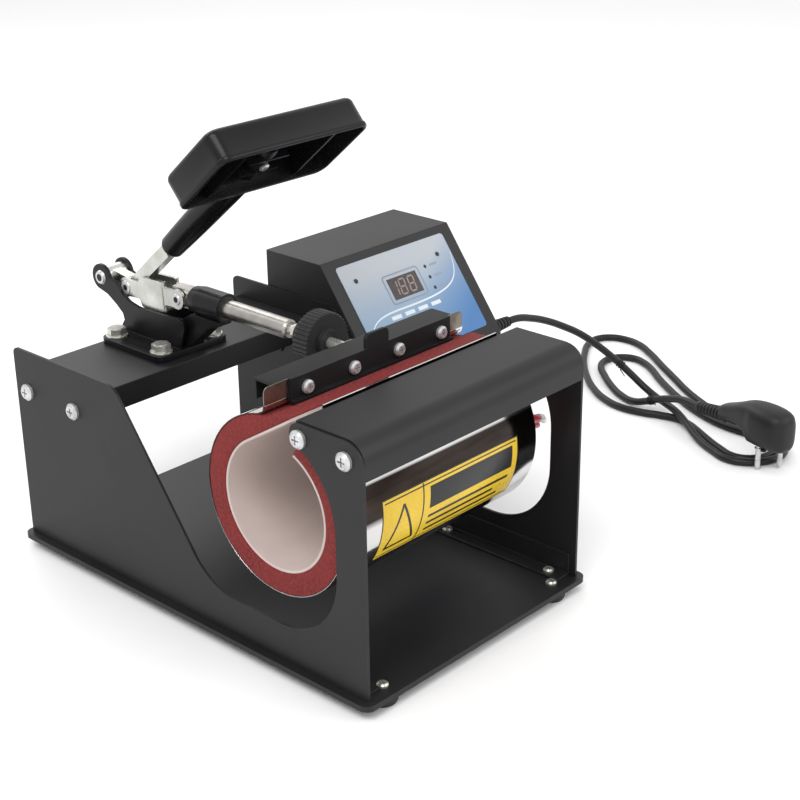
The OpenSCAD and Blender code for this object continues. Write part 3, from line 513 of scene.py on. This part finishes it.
def round_curve(name, radius, rounds, material):
    """A curve object with a round section and no line in it yet."""
    data = bpy.data.curves.new(name, "CURVE")
    data.dimensions = "3D"
    data.bevel_depth = radius * MM
    data.bevel_resolution = rounds
    data.use_fill_caps = True
    data.materials.append(material)
    piece = bpy.data.objects.new(name, data)
    bpy.context.scene.collection.objects.link(piece)
    return piece


def make_curve(name, route, diameter, material):
    """A round cord along a smooth line through the route's points."""
    piece = round_curve(name, diameter / 2, 5, material)
    piece.data.resolution_u = 6
    line = piece.data.splines.new("BEZIER")
    line.bezier_points.add(len(route) - 1)
    for point, place in zip(line.bezier_points, route):
        point.co = at(*place)
        point.handle_left_type = "AUTO"
        point.handle_right_type = "AUTO"
    return piece


RIBS = 7
RELIEF_AT = (372, 117, 101)
RELIEF_LENGTH = 30


def ribbed(first, pitch, root_r, taper, groove, depth, end):
    """Profile of tapering ribs, each followed by a groove of one depth, which ends at end."""
    profile = []
    for i in range(RIBS):
        d = first + i * pitch
        r = root_r - taper * d
        profile += [(d, r), (d + groove, r - depth), (d + groove + 1.2, r - depth),
                    (d + end, r - 0.1)]
    return profile


def make_relief():
    """The tapered strain relief on the gland, with its ribs."""
    length = RELIEF_LENGTH
    profile = [(0, 4), (0, 6.4), *ribbed(2, length / RIBS, 6.4, 1.8 / length, 0.4, 0.9, 2.0),
               (length - 0.6, 4.5), (length, 4.1), (length, 3)]
    b = Builder()
    lathe(b, at(*RELIEF_AT), Vector((1, 0, 0)), profile)
    return b.build("cord_strain_relief", [PLUG_PVC], 30)


PLUG_AT = (483, -97)
PLUG_FACE = 19.5
NECK_TURN = math.radians(77)
NECK_SLOPE = math.radians(6)
NECK_RISE = 16
# Where the ribbed sleeve starts, its length and how far along it the first rib is
SLEEVE_START, SLEEVE_LENGTH, FIRST_RIB = 51, 35, 4
PINS_TURN = math.radians(52)
PIN_REACH = 9.5
# Profiles that start inside the plug's body and point down: (distance, radius)
PIN = [(-2, 2.0), (-0.2, 2.0), (0, 3.4), (0.8, 3.4), (1, 2.35), (16.5, 2.35), (18, 2.1),
       (18.9, 1.2)]
BUTTON_REACH, BUTTON_BACK, BUTTON_SINK = 10.5, 3, 1.5
BUTTON = [(0, 2.4), (1.2, 2.4), (1.7, 2.2)]
# The plug's body, from its rounded end to its neck: (along it, half width, bottom, top)
PLUG_BODY = [(-19.6, 4, 25, 44), (-18.8, 7.4, 22.5, 48), (-17, 10.4, 20.6, 50.6),
             (-14, 12.8, 19.8, 52.6), (-10, 14.4, 19.5, 53.6), (-4, 15.4, 19.5, 54.3),
             (3, 15.6, 19.5, 54.5), (10, 15.2, 19.5, 54.3), (15.6, 14.6, 19.6, 53.9),
             (16.4, 14, 21, 53.8), (20, 13.4, 24.6, 53.2), (25, 12.6, 27.6, 52),
             (31, 11.4, 29.8, 49.6), (38, 10.2, 30.4, 46.2), (46, 9, 29.6, 43),
             (53, 8, 28.8, 40.2), (54, 7.4, 29.4, 39.4)]


def squarish(middle, wide, half_w, half_h, power=0.62, count=36):
    """An upright ring between an ellipse and a rectangle."""
    ring = []
    for k in range(count):
        t = 2 * math.pi * k / count
        across = half_w * math.copysign(abs(math.cos(t)) ** power, math.cos(t))
        rise = half_h * math.copysign(abs(math.sin(t)) ** power, math.sin(t))
        ring.append(middle + (wide * across + UP * rise) * MM)
    return ring


def make_plug():
    """Right-angle plug: a wedge-shaped body, ribbed sleeve and two round pins."""
    b = Builder()
    foot = at(*PLUG_AT, 0)
    flat = Vector((math.cos(NECK_TURN), math.sin(NECK_TURN), 0))
    wide = flat.cross(UP)
    b.loft([squarish(foot + flat * (d * MM) + UP * ((bottom + top) / 2 * MM), wide, half_w,
                     (top - bottom) / 2) for d, half_w, bottom, top in PLUG_BODY])
    pins_way = Vector((-math.sin(PINS_TURN), math.cos(PINS_TURN), 0))
    for side in (-1, 1):
        spot = foot + pins_way * (PIN_REACH * side * MM)
        lathe(b, spot + UP * (PLUG_FACE * MM), -UP, PIN, 1, 20)
    for side in (1, -1):
        spot = foot + wide * (BUTTON_REACH * side * MM) - flat * (BUTTON_BACK * MM)
        lathe(b, spot + UP * ((PLUG_FACE + BUTTON_SINK) * MM), -UP, BUTTON, 0, 20)
    along = (flat * math.cos(NECK_SLOPE) - UP * math.sin(NECK_SLOPE)).normalized()
    root = foot + UP * ((PLUG_FACE + NECK_RISE) * MM) + along * (SLEEVE_START * MM)
    taper = 1.9 / 34
    sleeve = [(0, 5), (0, 6.6), *ribbed(FIRST_RIB, 4, 6.6 + taper, taper, 0.5, 1, 2.2),
              (SLEEVE_LENGTH - 1, 4.5), (SLEEVE_LENGTH, 4.1), (SLEEVE_LENGTH, 3)]
    lathe(b, root, along, sleeve, 0, 32)
    return b.build("mains_plug", [PLUG_PVC, BRIGHT], 32)


TIE_R = 0.45
TIE_TURNS, TIE_STEPS, TIE_RUN = 2.5, 40, 6


def make_tie(name, before, after, share, tail):
    """A twist tie wound round one strand of the cord, with two loose tails."""
    axis = (at(*after) - at(*before)).normalized()
    centre = at(*before).lerp(at(*after), share)
    side = axis.cross(UP).normalized()
    above = side.cross(axis)
    radius = CORD_D / 2 + 0.5
    lean = side * tail[0] + axis * tail[1]
    route = [centre + (above * (radius + 9) + lean) * MM,
             centre + (above * (radius + 4) + lean * 0.3) * MM]
    for k in range(TIE_STEPS + 1):
        part = k / TIE_STEPS
        t = 2 * math.pi * TIE_TURNS * part
        spoke = above * math.cos(t) + side * math.sin(t)
        route.append(centre + (spoke * radius + axis * ((part - 0.5) * TIE_RUN)) * MM)
    route.append(centre + (side * 6 + axis * 9 - above * radius) * MM)
    piece = round_curve(name, TIE_R, 2, CORD_PVC)
    line = piece.data.splines.new("POLY")
    line.points.add(len(route) - 1)
    for point, place in zip(line.points, route):
        point.co = (*place, 1)
    return piece


cord = make_curve("mains_cord", CORD_ROUTE, CORD_D, CORD_PVC)
relief = make_relief()
plug = make_plug()
ties = [make_tie("twist_tie_rear", CORD_ROUTE[7], CORD_ROUTE[8], 0.4, (-4, 5)),
        make_tie("twist_tie_front", CORD_ROUTE[-5], CORD_ROUTE[-4], 0.5, (6, 3))]
for piece in [cord, relief, plug, *ties]:
    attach(piece, "frame")
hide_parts("power_cord", "cord_hank")
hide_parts("strain_relief")
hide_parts("plug")

# ---- heater ring: mat, sponge and band ----

# Angles run up from the rear side over the top to the front. The upper pieces start at the
# rear side, follow the ring to FLAP_FROM and then run straight on, as a flap.
RING_Y, RING_Z = -15, 119
RING_X0, RING_X1 = 4.5, 193.5
MUG_R, MAT_R, SPONGE_R, BAND_R = 44, 46, 61.4, 62
LOWER_FROM, FLAP_FROM = 115, 58.2
FLAP_A = math.radians(FLAP_FROM)
FLAP_DIR = (-math.sin(FLAP_A), math.cos(FLAP_A))
# Outer edge of the sponge along its flap: (distance along it, radius)
SPONGE_FLAP = [(10, 60.6), (20, 58), (26, 55.2), (32, 52.8), (37, 53.2), (39, 52.6),
               (44, 49.8), (49, 47)]
# The band's strip along the back of the front cover: (y, z) in the layout
BAND_STRIP = [(-40.8, 174.6), (-39.9, 174.6), (-39.6, 188.9), (-40.8, 188.9)]
BAND_STRIP_X = (26, 193.5)
# Size of the band's soft corners
BAND_EDGE = 0.15
# The band's upper end, bent up into the clamp plate: (y, z) from the ring's middle
BAND_TO = 77
BAND_BEND = [(10.4, 61.3), (8, 62.2)]
BAND_RISE = [(6.6, 63.6), (6, 65.4), (5.7, 67)]


def ring_place(x, r, angle, run=0.0):
    """A place on the ring: radius r at an angle, moved run mm along the flap."""
    return at(x, RING_Y + r * math.cos(angle) + run * FLAP_DIR[0],
              RING_Z + r * math.sin(angle) + run * FLAP_DIR[1])


def arc_stations(start, end, step=2.5):
    """Stations on the ring from one angle to another, in degrees, all with no run."""
    count = max(2, round(abs(end - start) / step))
    return [(math.radians(start + (end - start) * k / count), 0.0) for k in range(count + 1)]


def wrap(builder, stations, inner, outer, x0, x1, edge, slot=0):
    """Sweeps a soft-cornered rectangle, x0 to x1 by inner to outer, along the stations."""
    rings = []
    for k, (angle, run) in enumerate(stations):
        r0 = inner[k] if isinstance(inner, list) else inner
        r1 = outer[k] if isinstance(outer, list) else outer
        e = min(edge, (r1 - r0) * 0.4)
        section = [(x0 + e, r0), (x1 - e, r0), (x1 - e * 0.3, r0 + e * 0.3), (x1, r0 + e),
                   (x1, r1 - e), (x1 - e * 0.3, r1 - e * 0.3), (x1 - e, r1), (x0 + e, r1),
                   (x0 + e * 0.3, r1 - e * 0.3), (x0, r1 - e), (x0, r0 + e),
                   (x0 + e * 0.3, r0 + e * 0.3)]
        rings.append([ring_place(x, r, angle, run) for x, r in section])
    builder.loft(rings, slot)


def open_with_plunger(piece, node):
    """Bakes a lower piece, which stands for a node, into place and hides that node.
    """
    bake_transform(piece)
    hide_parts(node)


def ring_piece(name, material, stations, inner, outer, over, edge):
    """One swept piece, reaching over mm past both ends of the heater."""
    b = Builder()
    wrap(b, stations, inner, outer, RING_X0 - over, RING_X1 + over, edge)
    return b.build(name, [material], 50)


def make_band_lower():
    """The band's long part, with its strip along the back of the front cover."""
    b = Builder()
    wrap(b, arc_stations(LOWER_FROM - 0.8, 360), SPONGE_R, BAND_R, RING_X0 - 0.1,
         RING_X1 + 0.1, BAND_EDGE)
    b.loft([[at(x, y, z) for y, z in BAND_STRIP] for x in BAND_STRIP_X])
    return b.build("band_lower", [MIRROR], 50)


def make_band_upper():
    """The band's upper part, whose end is bent up into the clamp plate."""
    sheet = [((SPONGE_R * math.cos(a), SPONGE_R * math.sin(a)),
              (BAND_R * math.cos(a), BAND_R * math.sin(a)))
             for a, _ in arc_stations(0, BAND_TO)]
    sheet += [((y - 0.3, z - 0.3), (y + 0.1, z + 0.3)) for y, z in BAND_BEND]
    sheet += [((y - 0.55, z), (y + 0.05, z + 0.1)) for y, z in BAND_RISE]
    x0, x1 = RING_X0 - 0.1, RING_X1 + 0.1
    b = Builder()
    b.loft([[at(x, RING_Y + y, RING_Z + z) for x, (y, z) in
             [(x0, inner), (x1, inner), (x1, outer), (x0, outer)]]
            for inner, outer in sheet])
    return b.build("band_upper", [MIRROR], 50)


def make_ring():
    """Mat, sponge and band, each in a lower part and an upper part with the flap."""
    lower = arc_stations(LOWER_FROM, 360)
    arc = arc_stations(0, FLAP_FROM)
    upper = arc + [(FLAP_A, run) for run, _ in SPONGE_FLAP]
    outline = [SPONGE_R] * len(arc) + [radius for _, radius in SPONGE_FLAP]
    sponge_lower = ring_piece("sponge_lower", SPONGE, lower, MAT_R, SPONGE_R, 0, 0.8)
    sponge_upper = ring_piece("sponge_upper", SPONGE, upper, MAT_R + 0.03, outline, 0, 0.8)
    mat_lower = ring_piece("mat_lower", CREAM, lower, MUG_R, MAT_R, -0.2, 0.7)
    mat_upper = ring_piece("mat_upper", CREAM, upper, MUG_R, MAT_R, -0.2, 0.7)
    band_lower = make_band_lower()
    band_upper = make_band_upper()
    for piece, node in ((sponge_lower, "silicone_sponge"), (mat_lower, "heater_mat"),
                        (band_lower, "heater_band")):
        open_with_plunger(piece, node)
    for piece in (sponge_upper, mat_upper, band_upper):
        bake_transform(piece)


# ---- front label ----

LABEL_X = (39, 173.5)
LABEL_TURN = (170.5, 215)
# Height of the ink strokes' under side and top over the band
STROKE_LEVEL = (0.17, 0.25)


def stroke(builder, a, c, width=1.9):
    """A straight dark stroke on the band, between two places (x, angle in degrees)."""
    per_degree = math.radians(BAND_R)
    along = Vector((c[0] - a[0], (c[1] - a[1]) * per_degree)).normalized()
    side = Vector((-along.y, along.x)) * width / 2
    low, high = STROKE_LEVEL
    steps = 8
    rings = []
    for k in range(steps + 1):
        x = a[0] + (c[0] - a[0]) * k / steps
        turn = a[1] + (c[1] - a[1]) * k / steps
        rings.append([ring_place(x + side.x * way, BAND_R + level,
                                 math.radians(turn + side.y * way / per_degree))
                      for way, level in ((-1, low), (1, low), (1, high), (-1, high))])
    builder.loft(rings, 1)


def make_label():
    """A plain yellow sticker: border, lines, a dark block, a triangle and plain bars.

    It runs from x0 to x1, and from the angle top to the angle bottom in degrees.
    """
    b = Builder()
    x0, x1 = LABEL_X
    top, bottom = LABEL_TURN
    yellow, ink = 0, 1

    def patch(left, right, start, end, level=2, slot=ink):
        """A patch of the label's thickness, each level lying a little above the last."""
        low = BAND_R + 0.05 + 0.06 * level
        wrap(b, arc_stations(start, end, 2), low, low + 0.08, left, right, 0.02, slot)

    patch(x0, x1, top, bottom, 0)
    patch(x0 + 0.8, x1 - 0.8, top + 0.8, bottom - 0.8, 1, yellow)
    patch(x0 + 2.4, x1 - 2.4, top + 2.4, top + 3.2)
    patch(x0 + 2.4, x1 - 2.4, bottom - 3.2, bottom - 2.4)
    patch(x0 + 38, x0 + 39.2, top + 1.2, bottom - 1.2)
    block_x = x0 + 45
    patch(block_x, x1 - 6, top + 5, top + 20)
    middle = x0 + 20
    for side in (-1, 1):
        stroke(b, (middle, top + 8), (middle + 13 * side, bottom - 8))
    stroke(b, (middle - 13.8, bottom - 8), (middle + 13.8, bottom - 8))
    for k, short in enumerate((8, 22, 15)):
        start = top + 25 + 5.5 * k
        patch(block_x, x1 - short, start, start + 2)
    label = b.build("band_label", [YELLOW, LABEL_INK], 50)
    open_with_plunger(label, "front_label")


make_ring()
make_label()

# ---- heater lead ----

# Routes from the ring's right end towards the control box
RED_ROUTE = [(188, -66, 134), (195, -69, 133), (203, -69, 130), (212, -66, 126)]
SECOND_ROUTE = [(188, -60, 128), (194, -65, 125), (201, -66, 122), (208, -64, 121),
                (214, -62, 119)]
SLEEVE_ROUTE = [(212, -66, 126), (220, -63, 121), (228, -56, 117), (234, -40, 110),
                (238, -18, 102), (238, 4, 97), (238, 34, 91), (238, 64, 86), (238, 96, 84)]
CRIMP_AT = (208, -67, 127.8)
CRIMP = [(0, 2.2), (0, 2.9), (1, 3.1), (6, 3.1), (7, 2.8), (7, 2)]


def make_lead():
    """The heater's two red leads, the crimped end and the white sleeve to the box."""
    red = make_curve("lead_red", RED_ROUTE, 5, RED_LEAD)
    second = make_curve("lead_red_second", SECOND_ROUTE, 4.4, RED_LEAD)
    sleeve = make_curve("lead_sleeve", SLEEVE_ROUTE, 4.6, SLEEVE)
    b = Builder()
    lathe(b, at(*CRIMP_AT), Vector((8, 1.5, -3.2)), CRIMP, 0, 24)
    crimp = b.build("lead_crimp", [BRIGHT], 40)
    for piece in (red, second, sleeve, crimp):
        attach(piece, "frame")
    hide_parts("heater_lead")


make_lead()

# ---- handle and grip ----

# The toggle's middle plane, and where the lever's arm starts, with its slope
MID_X = 106
ARM_AT = (243.6, 181.5)
ARM_A = math.radians(40.5)
ARM_SIDE = Vector((-1, 0, 0))
ARM_ALONG = Vector((0, -math.cos(ARM_A), math.sin(ARM_A)))
ARM_UP = Vector((0, math.sin(ARM_A), math.cos(ARM_A)))
# Where the grip and the handle start along the arm
GRIP_S0 = 62.6
HANDLE_S0 = 171
# The handle's size, and the heights of its top and rim over the arm's line
HANDLE_W, HANDLE_L, HANDLE_T = 134, 66, 25
HANDLE_DROP = 2.5
HANDLE_TOP = HANDLE_T / 2 - HANDLE_DROP
HANDLE_LOW = HANDLE_TOP - HANDLE_T
# The lever's socket in the handle: (distance along the arm, radius)
HANDLE_SOCKET = [(0, 5), (0, 7.2), (0.8, 7.8), (35, 7.6), (37, 6.4), (37, 5)]


def on_arm(x, s, h):
    """A place on the lever arm: x mm to its side, s mm along it and h mm above it."""
    return at(MID_X, *ARM_AT) + (ARM_SIDE * x + ARM_ALONG * s + ARM_UP * h) * MM


def soft_rect(width, length, r, s_mid, h, steps=7):
    """A rectangle with round corners, square to the arm's height."""
    ring = []
    for side, end, start in ((1, 1, 0), (-1, 1, 90), (-1, -1, 180), (1, -1, 270)):
        for k in range(steps + 1):
            a = math.radians(start + 90 * k / steps)
            ring.append(on_arm(side * (width / 2 - r) + r * math.cos(a),
                               s_mid + end * (length / 2 - r) + r * math.sin(a), h))
    return ring


def handle_shell(builder):
    """The handle's moulded shell: from its hollow, round its rim and over its top."""
    width, length = HANDLE_W, HANDLE_L
    top, low = HANDLE_TOP, HANDLE_LOW
    mid = HANDLE_S0 + length / 2
    # (how much smaller than the handle, corner radius, height), from its hollow outwards
    levels = [(13, 5, top - 4), (8.4, 6, top - 6.5), (6.4, 6.6, low + 2.4),
              (5.8, 7, low + 0.3), (4.6, 7.4, low), (2.2, 8.2, low), (0.6, 8.8, low + 0.7),
              (0, 9, low + 1.9), (0, 9, low + 3.6), (1.3, 8.6, low + 4.4),
              (1.1, 8.8, top - 5.5)]
    shoulder = 9
    for k in range(1, 7):
        a = math.radians(15 * k)
        inset = 1.1 + shoulder * (1 - math.cos(a))
        levels.append((inset, 8.8 - inset * 0.3, top - 5.5 + 5.2 * math.sin(a)))
    levels.append((24, 5, top - 0.1))
    rings = [soft_rect(width - 52, length - 40, 4, mid, top - 4)]
    rings += [soft_rect(width - inset, length - inset, r, mid, h) for inset, r, h in levels]
    rings.append(soft_rect(width - 54, length - 42, 4, mid, top))
    builder.loft(rings)


def handle_ribs(builder):
    """Two long ribs and two short ones in the handle's hollow, and the lever's socket."""
    top, low = HANDLE_TOP, HANDLE_LOW
    long_rib = [(-1.2, low + 3), (1.2, low + 3), (1.5, top - 3), (-1.5, top - 3)]
    short_rib = [(-1.1, low + 7), (1.1, low + 7), (1.3, top - 3), (-1.3, top - 3)]
    for x in (-40, 40):
        builder.loft([[on_arm(x + dx, s, h) for dx, h in long_rib]
                      for s in (HANDLE_S0 + 2.5, HANDLE_S0 + HANDLE_L - 2.5)])
    for s in (HANDLE_S0 + 14, HANDLE_S0 + 30):
        builder.loft([[on_arm(x, s + ds, h) for ds, h in short_rib] for x in (-18, 18)])
    lathe(builder, on_arm(0, HANDLE_S0 + 1, 0), ARM_ALONG, HANDLE_SOCKET, 0, 36)


def make_handle():
    """The moulded T handle: soft-edged shell, hollow and ribbed underneath."""
    b = Builder()
    handle_shell(b)
    handle_ribs(b)
    handle = b.build("handle_shell", [HANDLE], 42)
    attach(handle, "lever")
    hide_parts("t_handle")


def make_grip():
    """The lever's sleeve, swelling towards the handle, with a rounded lower end."""
    length = HANDLE_S0 - GRIP_S0
    start_r, end_r, swell = 5.4, 9.2, 1.75
    profile = [(0, 4.6), (0, start_r)]
    for degrees in (20, 40, 60, 80, 90):
        a = math.radians(degrees)
        profile.append((3.4 * (1 - math.cos(a)), start_r + (end_r - start_r) * math.sin(a)))
    for part in (0.2, 0.4, 0.6, 0.8, 1.0):
        profile.append((length * part, end_r + swell * math.sin(part * math.pi / 2)))
    b = Builder()
    lathe(b, on_arm(0, GRIP_S0, 0), ARM_ALONG, profile, 0, 48)
    grip = b.build("grip", [HANDLE], 40)
    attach(grip, "lever")
    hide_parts("grip_sleeve")


make_handle()
make_grip()

# ---- rivets and the link's rolled front ----

# The knee rivet's (y, z) in the layout, and how far the link slopes down to the rear
KNEE = (243.56, 183.0)
LINK_TILT = math.radians(3.49)
LINK_UP = Vector((0, math.sin(LINK_TILT), math.cos(LINK_TILT)))
LINK_BACK = Vector((0, math.cos(LINK_TILT), -math.sin(LINK_TILT)))
# The rolled edges' place from the knee: to each side, forwards and down
ROLL_SIDE, ROLL_FRONT, ROLL_DOWN = 6.5, 43.5, 12.4
ROLL = [(0, 1.2), (0.3, 1.9), (23.1, 1.9), (23.4, 1.2)]


def make_recess_shade(node, radius, body):
    """Painted shade: dark discs over a tubular rivet's two heads, which stand for the shade in
    their hollow middles.
    """
    low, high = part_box(node)
    middle = (low + high) / 2
    hollow = [(-0.3, radius * 0.6), (-0.3, radius), (0.1, radius), (0.1, radius * 0.7)]
    b = Builder()
    for x, way in ((low.x, -1), (high.x, 1)):
        lathe(b, Vector((x, middle.y, middle.z)), Vector((way, 0, 0)), hollow)
    recess = b.build(node + "_recess_shade", [CASTING], 30)
    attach(recess, body)


def make_link_roll():
    """Rolled front edges of the link's two side plates."""
    b = Builder()
    for side in (-1, 1):
        foot = at(MID_X + side * ROLL_SIDE, *KNEE)
        foot -= (LINK_BACK * ROLL_FRONT + LINK_UP * ROLL_DOWN) * MM
        lathe(b, foot, LINK_UP, ROLL, 0, 24)
    roll = b.build("link_roll", [PRESSED], 50)
    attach(roll, "link")


# Painted shade in the rivets' hollow middles
make_recess_shade("frame_pivot_pin", 2.9, "frame")
make_recess_shade("knee_rivet", 2.3, "link")
make_recess_shade("nose_rivet", 2.3, "link")
make_link_roll()

# ---- prints on the control panel ----


def panel_plate(builder, outline, low, high):
    """A thin plate on the panel, from an outline of (u, s) points."""
    builder.loft([[on_panel(u, s, h) for u, s in outline] for h in (low, high)])


def soft_outline(u0, s0, u1, s1, r, steps=6):
    """An upright rectangle on the panel, with round corners."""
    ring = []
    for cu, cs, start in ((u1 - r, s0 + r, 270), (u1 - r, s1 - r, 0), (u0 + r, s1 - r, 90),
                          (u0 + r, s0 + r, 180)):
        for k in range(steps + 1):
            a = math.radians(start + 90 * k / steps)
            ring.append((cu + r * math.cos(a), cs + r * math.sin(a)))
    return ring


def ribbon(builder, line, width, low, high):
    """A narrow printed line along (u, s) points, tapering to both ends."""
    rings = []
    for k, p in enumerate(line):
        a, c = line[max(k - 1, 0)], line[min(k + 1, len(line) - 1)]
        d = Vector((c[0] - a[0], c[1] - a[1])).normalized()
        half = width / 2 * (0.25 + 0.75 * math.sin(math.pi * (k + 0.5) / len(line)))
        left = (p[0] - d.y * half, p[1] + d.x * half)
        right = (p[0] + d.y * half, p[1] - d.x * half)
        rings.append([on_panel(*left, low), on_panel(*right, low), on_panel(*right, high),
                      on_panel(*left, high)])
    builder.loft(rings)


def bezier(points, count=28):
    """Points along a cubic Bezier curve."""
    out = []
    for k in range(count + 1):
        t = k / count
        weights = ((1 - t) ** 3, 3 * t * (1 - t) ** 2, 3 * t * t * (1 - t), t ** 3)
        out.append(tuple(sum(w * p[i] for w, p in zip(weights, points)) for i in (0, 1)))
    return out


# Height of the film over the panel, and where the prints and the bezel start and end
FILM_TOP = 0.6
PRINT = (FILM_TOP - 0.05, FILM_TOP + 0.03)
BEZEL = (FILM_TOP - 0.1, FILM_TOP + 0.14)
# The long curved line: rising from the panel's left, level over the keys, up at the right
CURVE_LEFT = [(15, 70), (22, 56), (34, 54.5), (60, 54.8)]
CURVE_RIGHT = [(60, 54.8), (122, 55.5), (131, 50), (136, 24)]
DASH_U, DASH_PITCH, DASH_WIDTH = 43, 15.5, 11
DASH_S = (58.2, 61.4)
MARK_U, MARK_WIDTH = 107, 9
MARK_ROWS, MARK_HALF = (29, 38.5, 48), 0.9
# The bezel's left, top, right and bottom edges, and its corner radius
BEZEL_OUTSIDE = (51.5, 25.4, 93.5, 50.6, 3.4)
BEZEL_INSIDE = (52.6, 26.5, 92.4, 49.5, 2.4)


def make_prints():
    """The printed line, the dashes over the keys, the lamps' marks and the bezel."""
    b = Builder()
    ribbon(b, bezier(CURVE_LEFT) + bezier(CURVE_RIGHT)[1:], 1.5, *PRINT)
    for i in range(4):
        u = DASH_U + i * DASH_PITCH
        outline = soft_outline(u, DASH_S[0], u + DASH_WIDTH, DASH_S[1], 0.6)
        panel_plate(b, outline, *PRINT)
    prints = b.build("panel_prints", [PRINT_WHITE], 40)
    b = Builder()
    for s in MARK_ROWS:
        outline = soft_outline(MARK_U, s - MARK_HALF, MARK_U + MARK_WIDTH, s + MARK_HALF, 0.4)
        panel_plate(b, outline, *PRINT)
    marks = b.build("panel_marks", [PRINT_GREY], 40)
    b = Builder()
    outer = soft_outline(*BEZEL_OUTSIDE)
    inner = soft_outline(*BEZEL_INSIDE)
    low, high = BEZEL
    b.loft([[on_panel(u, s, h) for u, s in outline] for outline, h in
            ((outer, low), (outer, high), (inner, high), (inner, low))], close=True)
    bezel = b.build("display_bezel", [PRINT_FRAME], 40)
    for piece in (prints, marks, bezel):
        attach(piece, "frame")


# Seven-segment digits: their left edges, the row of their middles, and their sizes
DIGITS_U = (57.6, 67.0, 77.4)
DIGITS_S = 38
DIGIT_TALL, DIGIT_WIDE, DIGIT_BAR, DIGIT_SLANT = 12.6, 6.2, 1.25, 0.12
DIGIT_GAP = 0.25
DIGIT_LEVEL = (0.35, 0.46)


def segment(builder, u0, s0, u1, s1):
    """One bar of a digit, level or upright, with pointed ends."""
    h = DIGIT_BAR / 2
    if abs(u1 - u0) > abs(s1 - s0):
        ring = [(u0 + h, s0 - h), (u1 - h, s0 - h), (u1, s0), (u1 - h, s0 + h),
                (u0 + h, s0 + h), (u0, s0)]
    else:
        ring = [(u0 - h, s0 + h), (u0, s0), (u0 + h, s0 + h), (u0 + h, s1 - h),
                (u0, s1), (u0 - h, s1 - h)]
    panel_plate(builder, [(u + (DIGITS_S - s) * DIGIT_SLANT, s) for u, s in ring],
                *DIGIT_LEVEL)


def make_digits():
    """Three unlit digits under the tinted window: a one and two eights."""
    b = Builder()
    top, bottom = DIGITS_S - DIGIT_TALL / 2, DIGITS_S + DIGIT_TALL / 2
    for i, u in enumerate(DIGITS_U):
        right = u + DIGIT_WIDE
        for column in ([right] if i == 0 else [u, right]):
            segment(b, column, top + DIGIT_GAP, column, DIGITS_S - DIGIT_GAP)
            segment(b, column, DIGITS_S + DIGIT_GAP, column, bottom - DIGIT_GAP)
        if i:
            for s in (top, DIGITS_S, bottom):
                segment(b, u + DIGIT_GAP, s, right - DIGIT_GAP, s)
    digits = b.build("display_digits", [SEGMENT], 40)
    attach(digits, "frame")


make_prints()
make_digits()

# ---- floor and light ----

FLOOR_REACH = 55


def make_stage():
    """A wide pale floor, and an even white world that lights the press from all sides."""
    floor_mat = finish("floor", (0.86, 0.86, 0.86), (0.84, 0.84, 0.84), 0.6, grain=40,
                       bump=0.02, patch=2)
    mesh = bpy.data.meshes.new("floor")
    corners = [(x * FLOOR_REACH, y * FLOOR_REACH, 0)
               for x, y in ((-1, -1), (1, -1), (1, 1), (-1, 1))]
    mesh.from_pydata(corners, [], [(0, 1, 2, 3)])
    mesh.materials.append(floor_mat)
    floor = bpy.data.objects.new("floor", mesh)
    bpy.context.scene.collection.objects.link(floor)
    world = bpy.data.worlds.new("studio")
    bpy.context.scene.world = world
    world.use_nodes = True
    sky = world.node_tree.nodes["Background"]
    sky.inputs["Color"].default_value = (1, 1, 1, 1)
    sky.inputs["Strength"].default_value = 1.0


def area_light(name, place, target, size, power):
    """A soft rectangular light at a place, in metres, that faces its target."""
    data = bpy.data.lights.new(name, "AREA")
    data.shape = "RECTANGLE"
    data.size, data.size_y = size
    data.energy = power
    light = bpy.data.objects.new(name, data)
    light.location = place
    light.rotation_euler = (Vector(target) - Vector(place)).to_track_quat("-Z", "Y").to_euler()
    bpy.context.scene.collection.objects.link(light)


make_stage()
bpy.context.scene.view_settings.view_transform = "Standard"
area_light("key_light", (-1.2, -0.5, 1.8), (0, 0, 0.1), (1.4, 1.0), 22)
area_light("fill_light", (0.9, -1.6, 1.2), (0.05, 0, 0.1), (1.6, 1.0), 10)
area_light("back_light", (0.3, 1.6, 1.5), (0, 0, 0.15), (1.8, 0.8), 12)
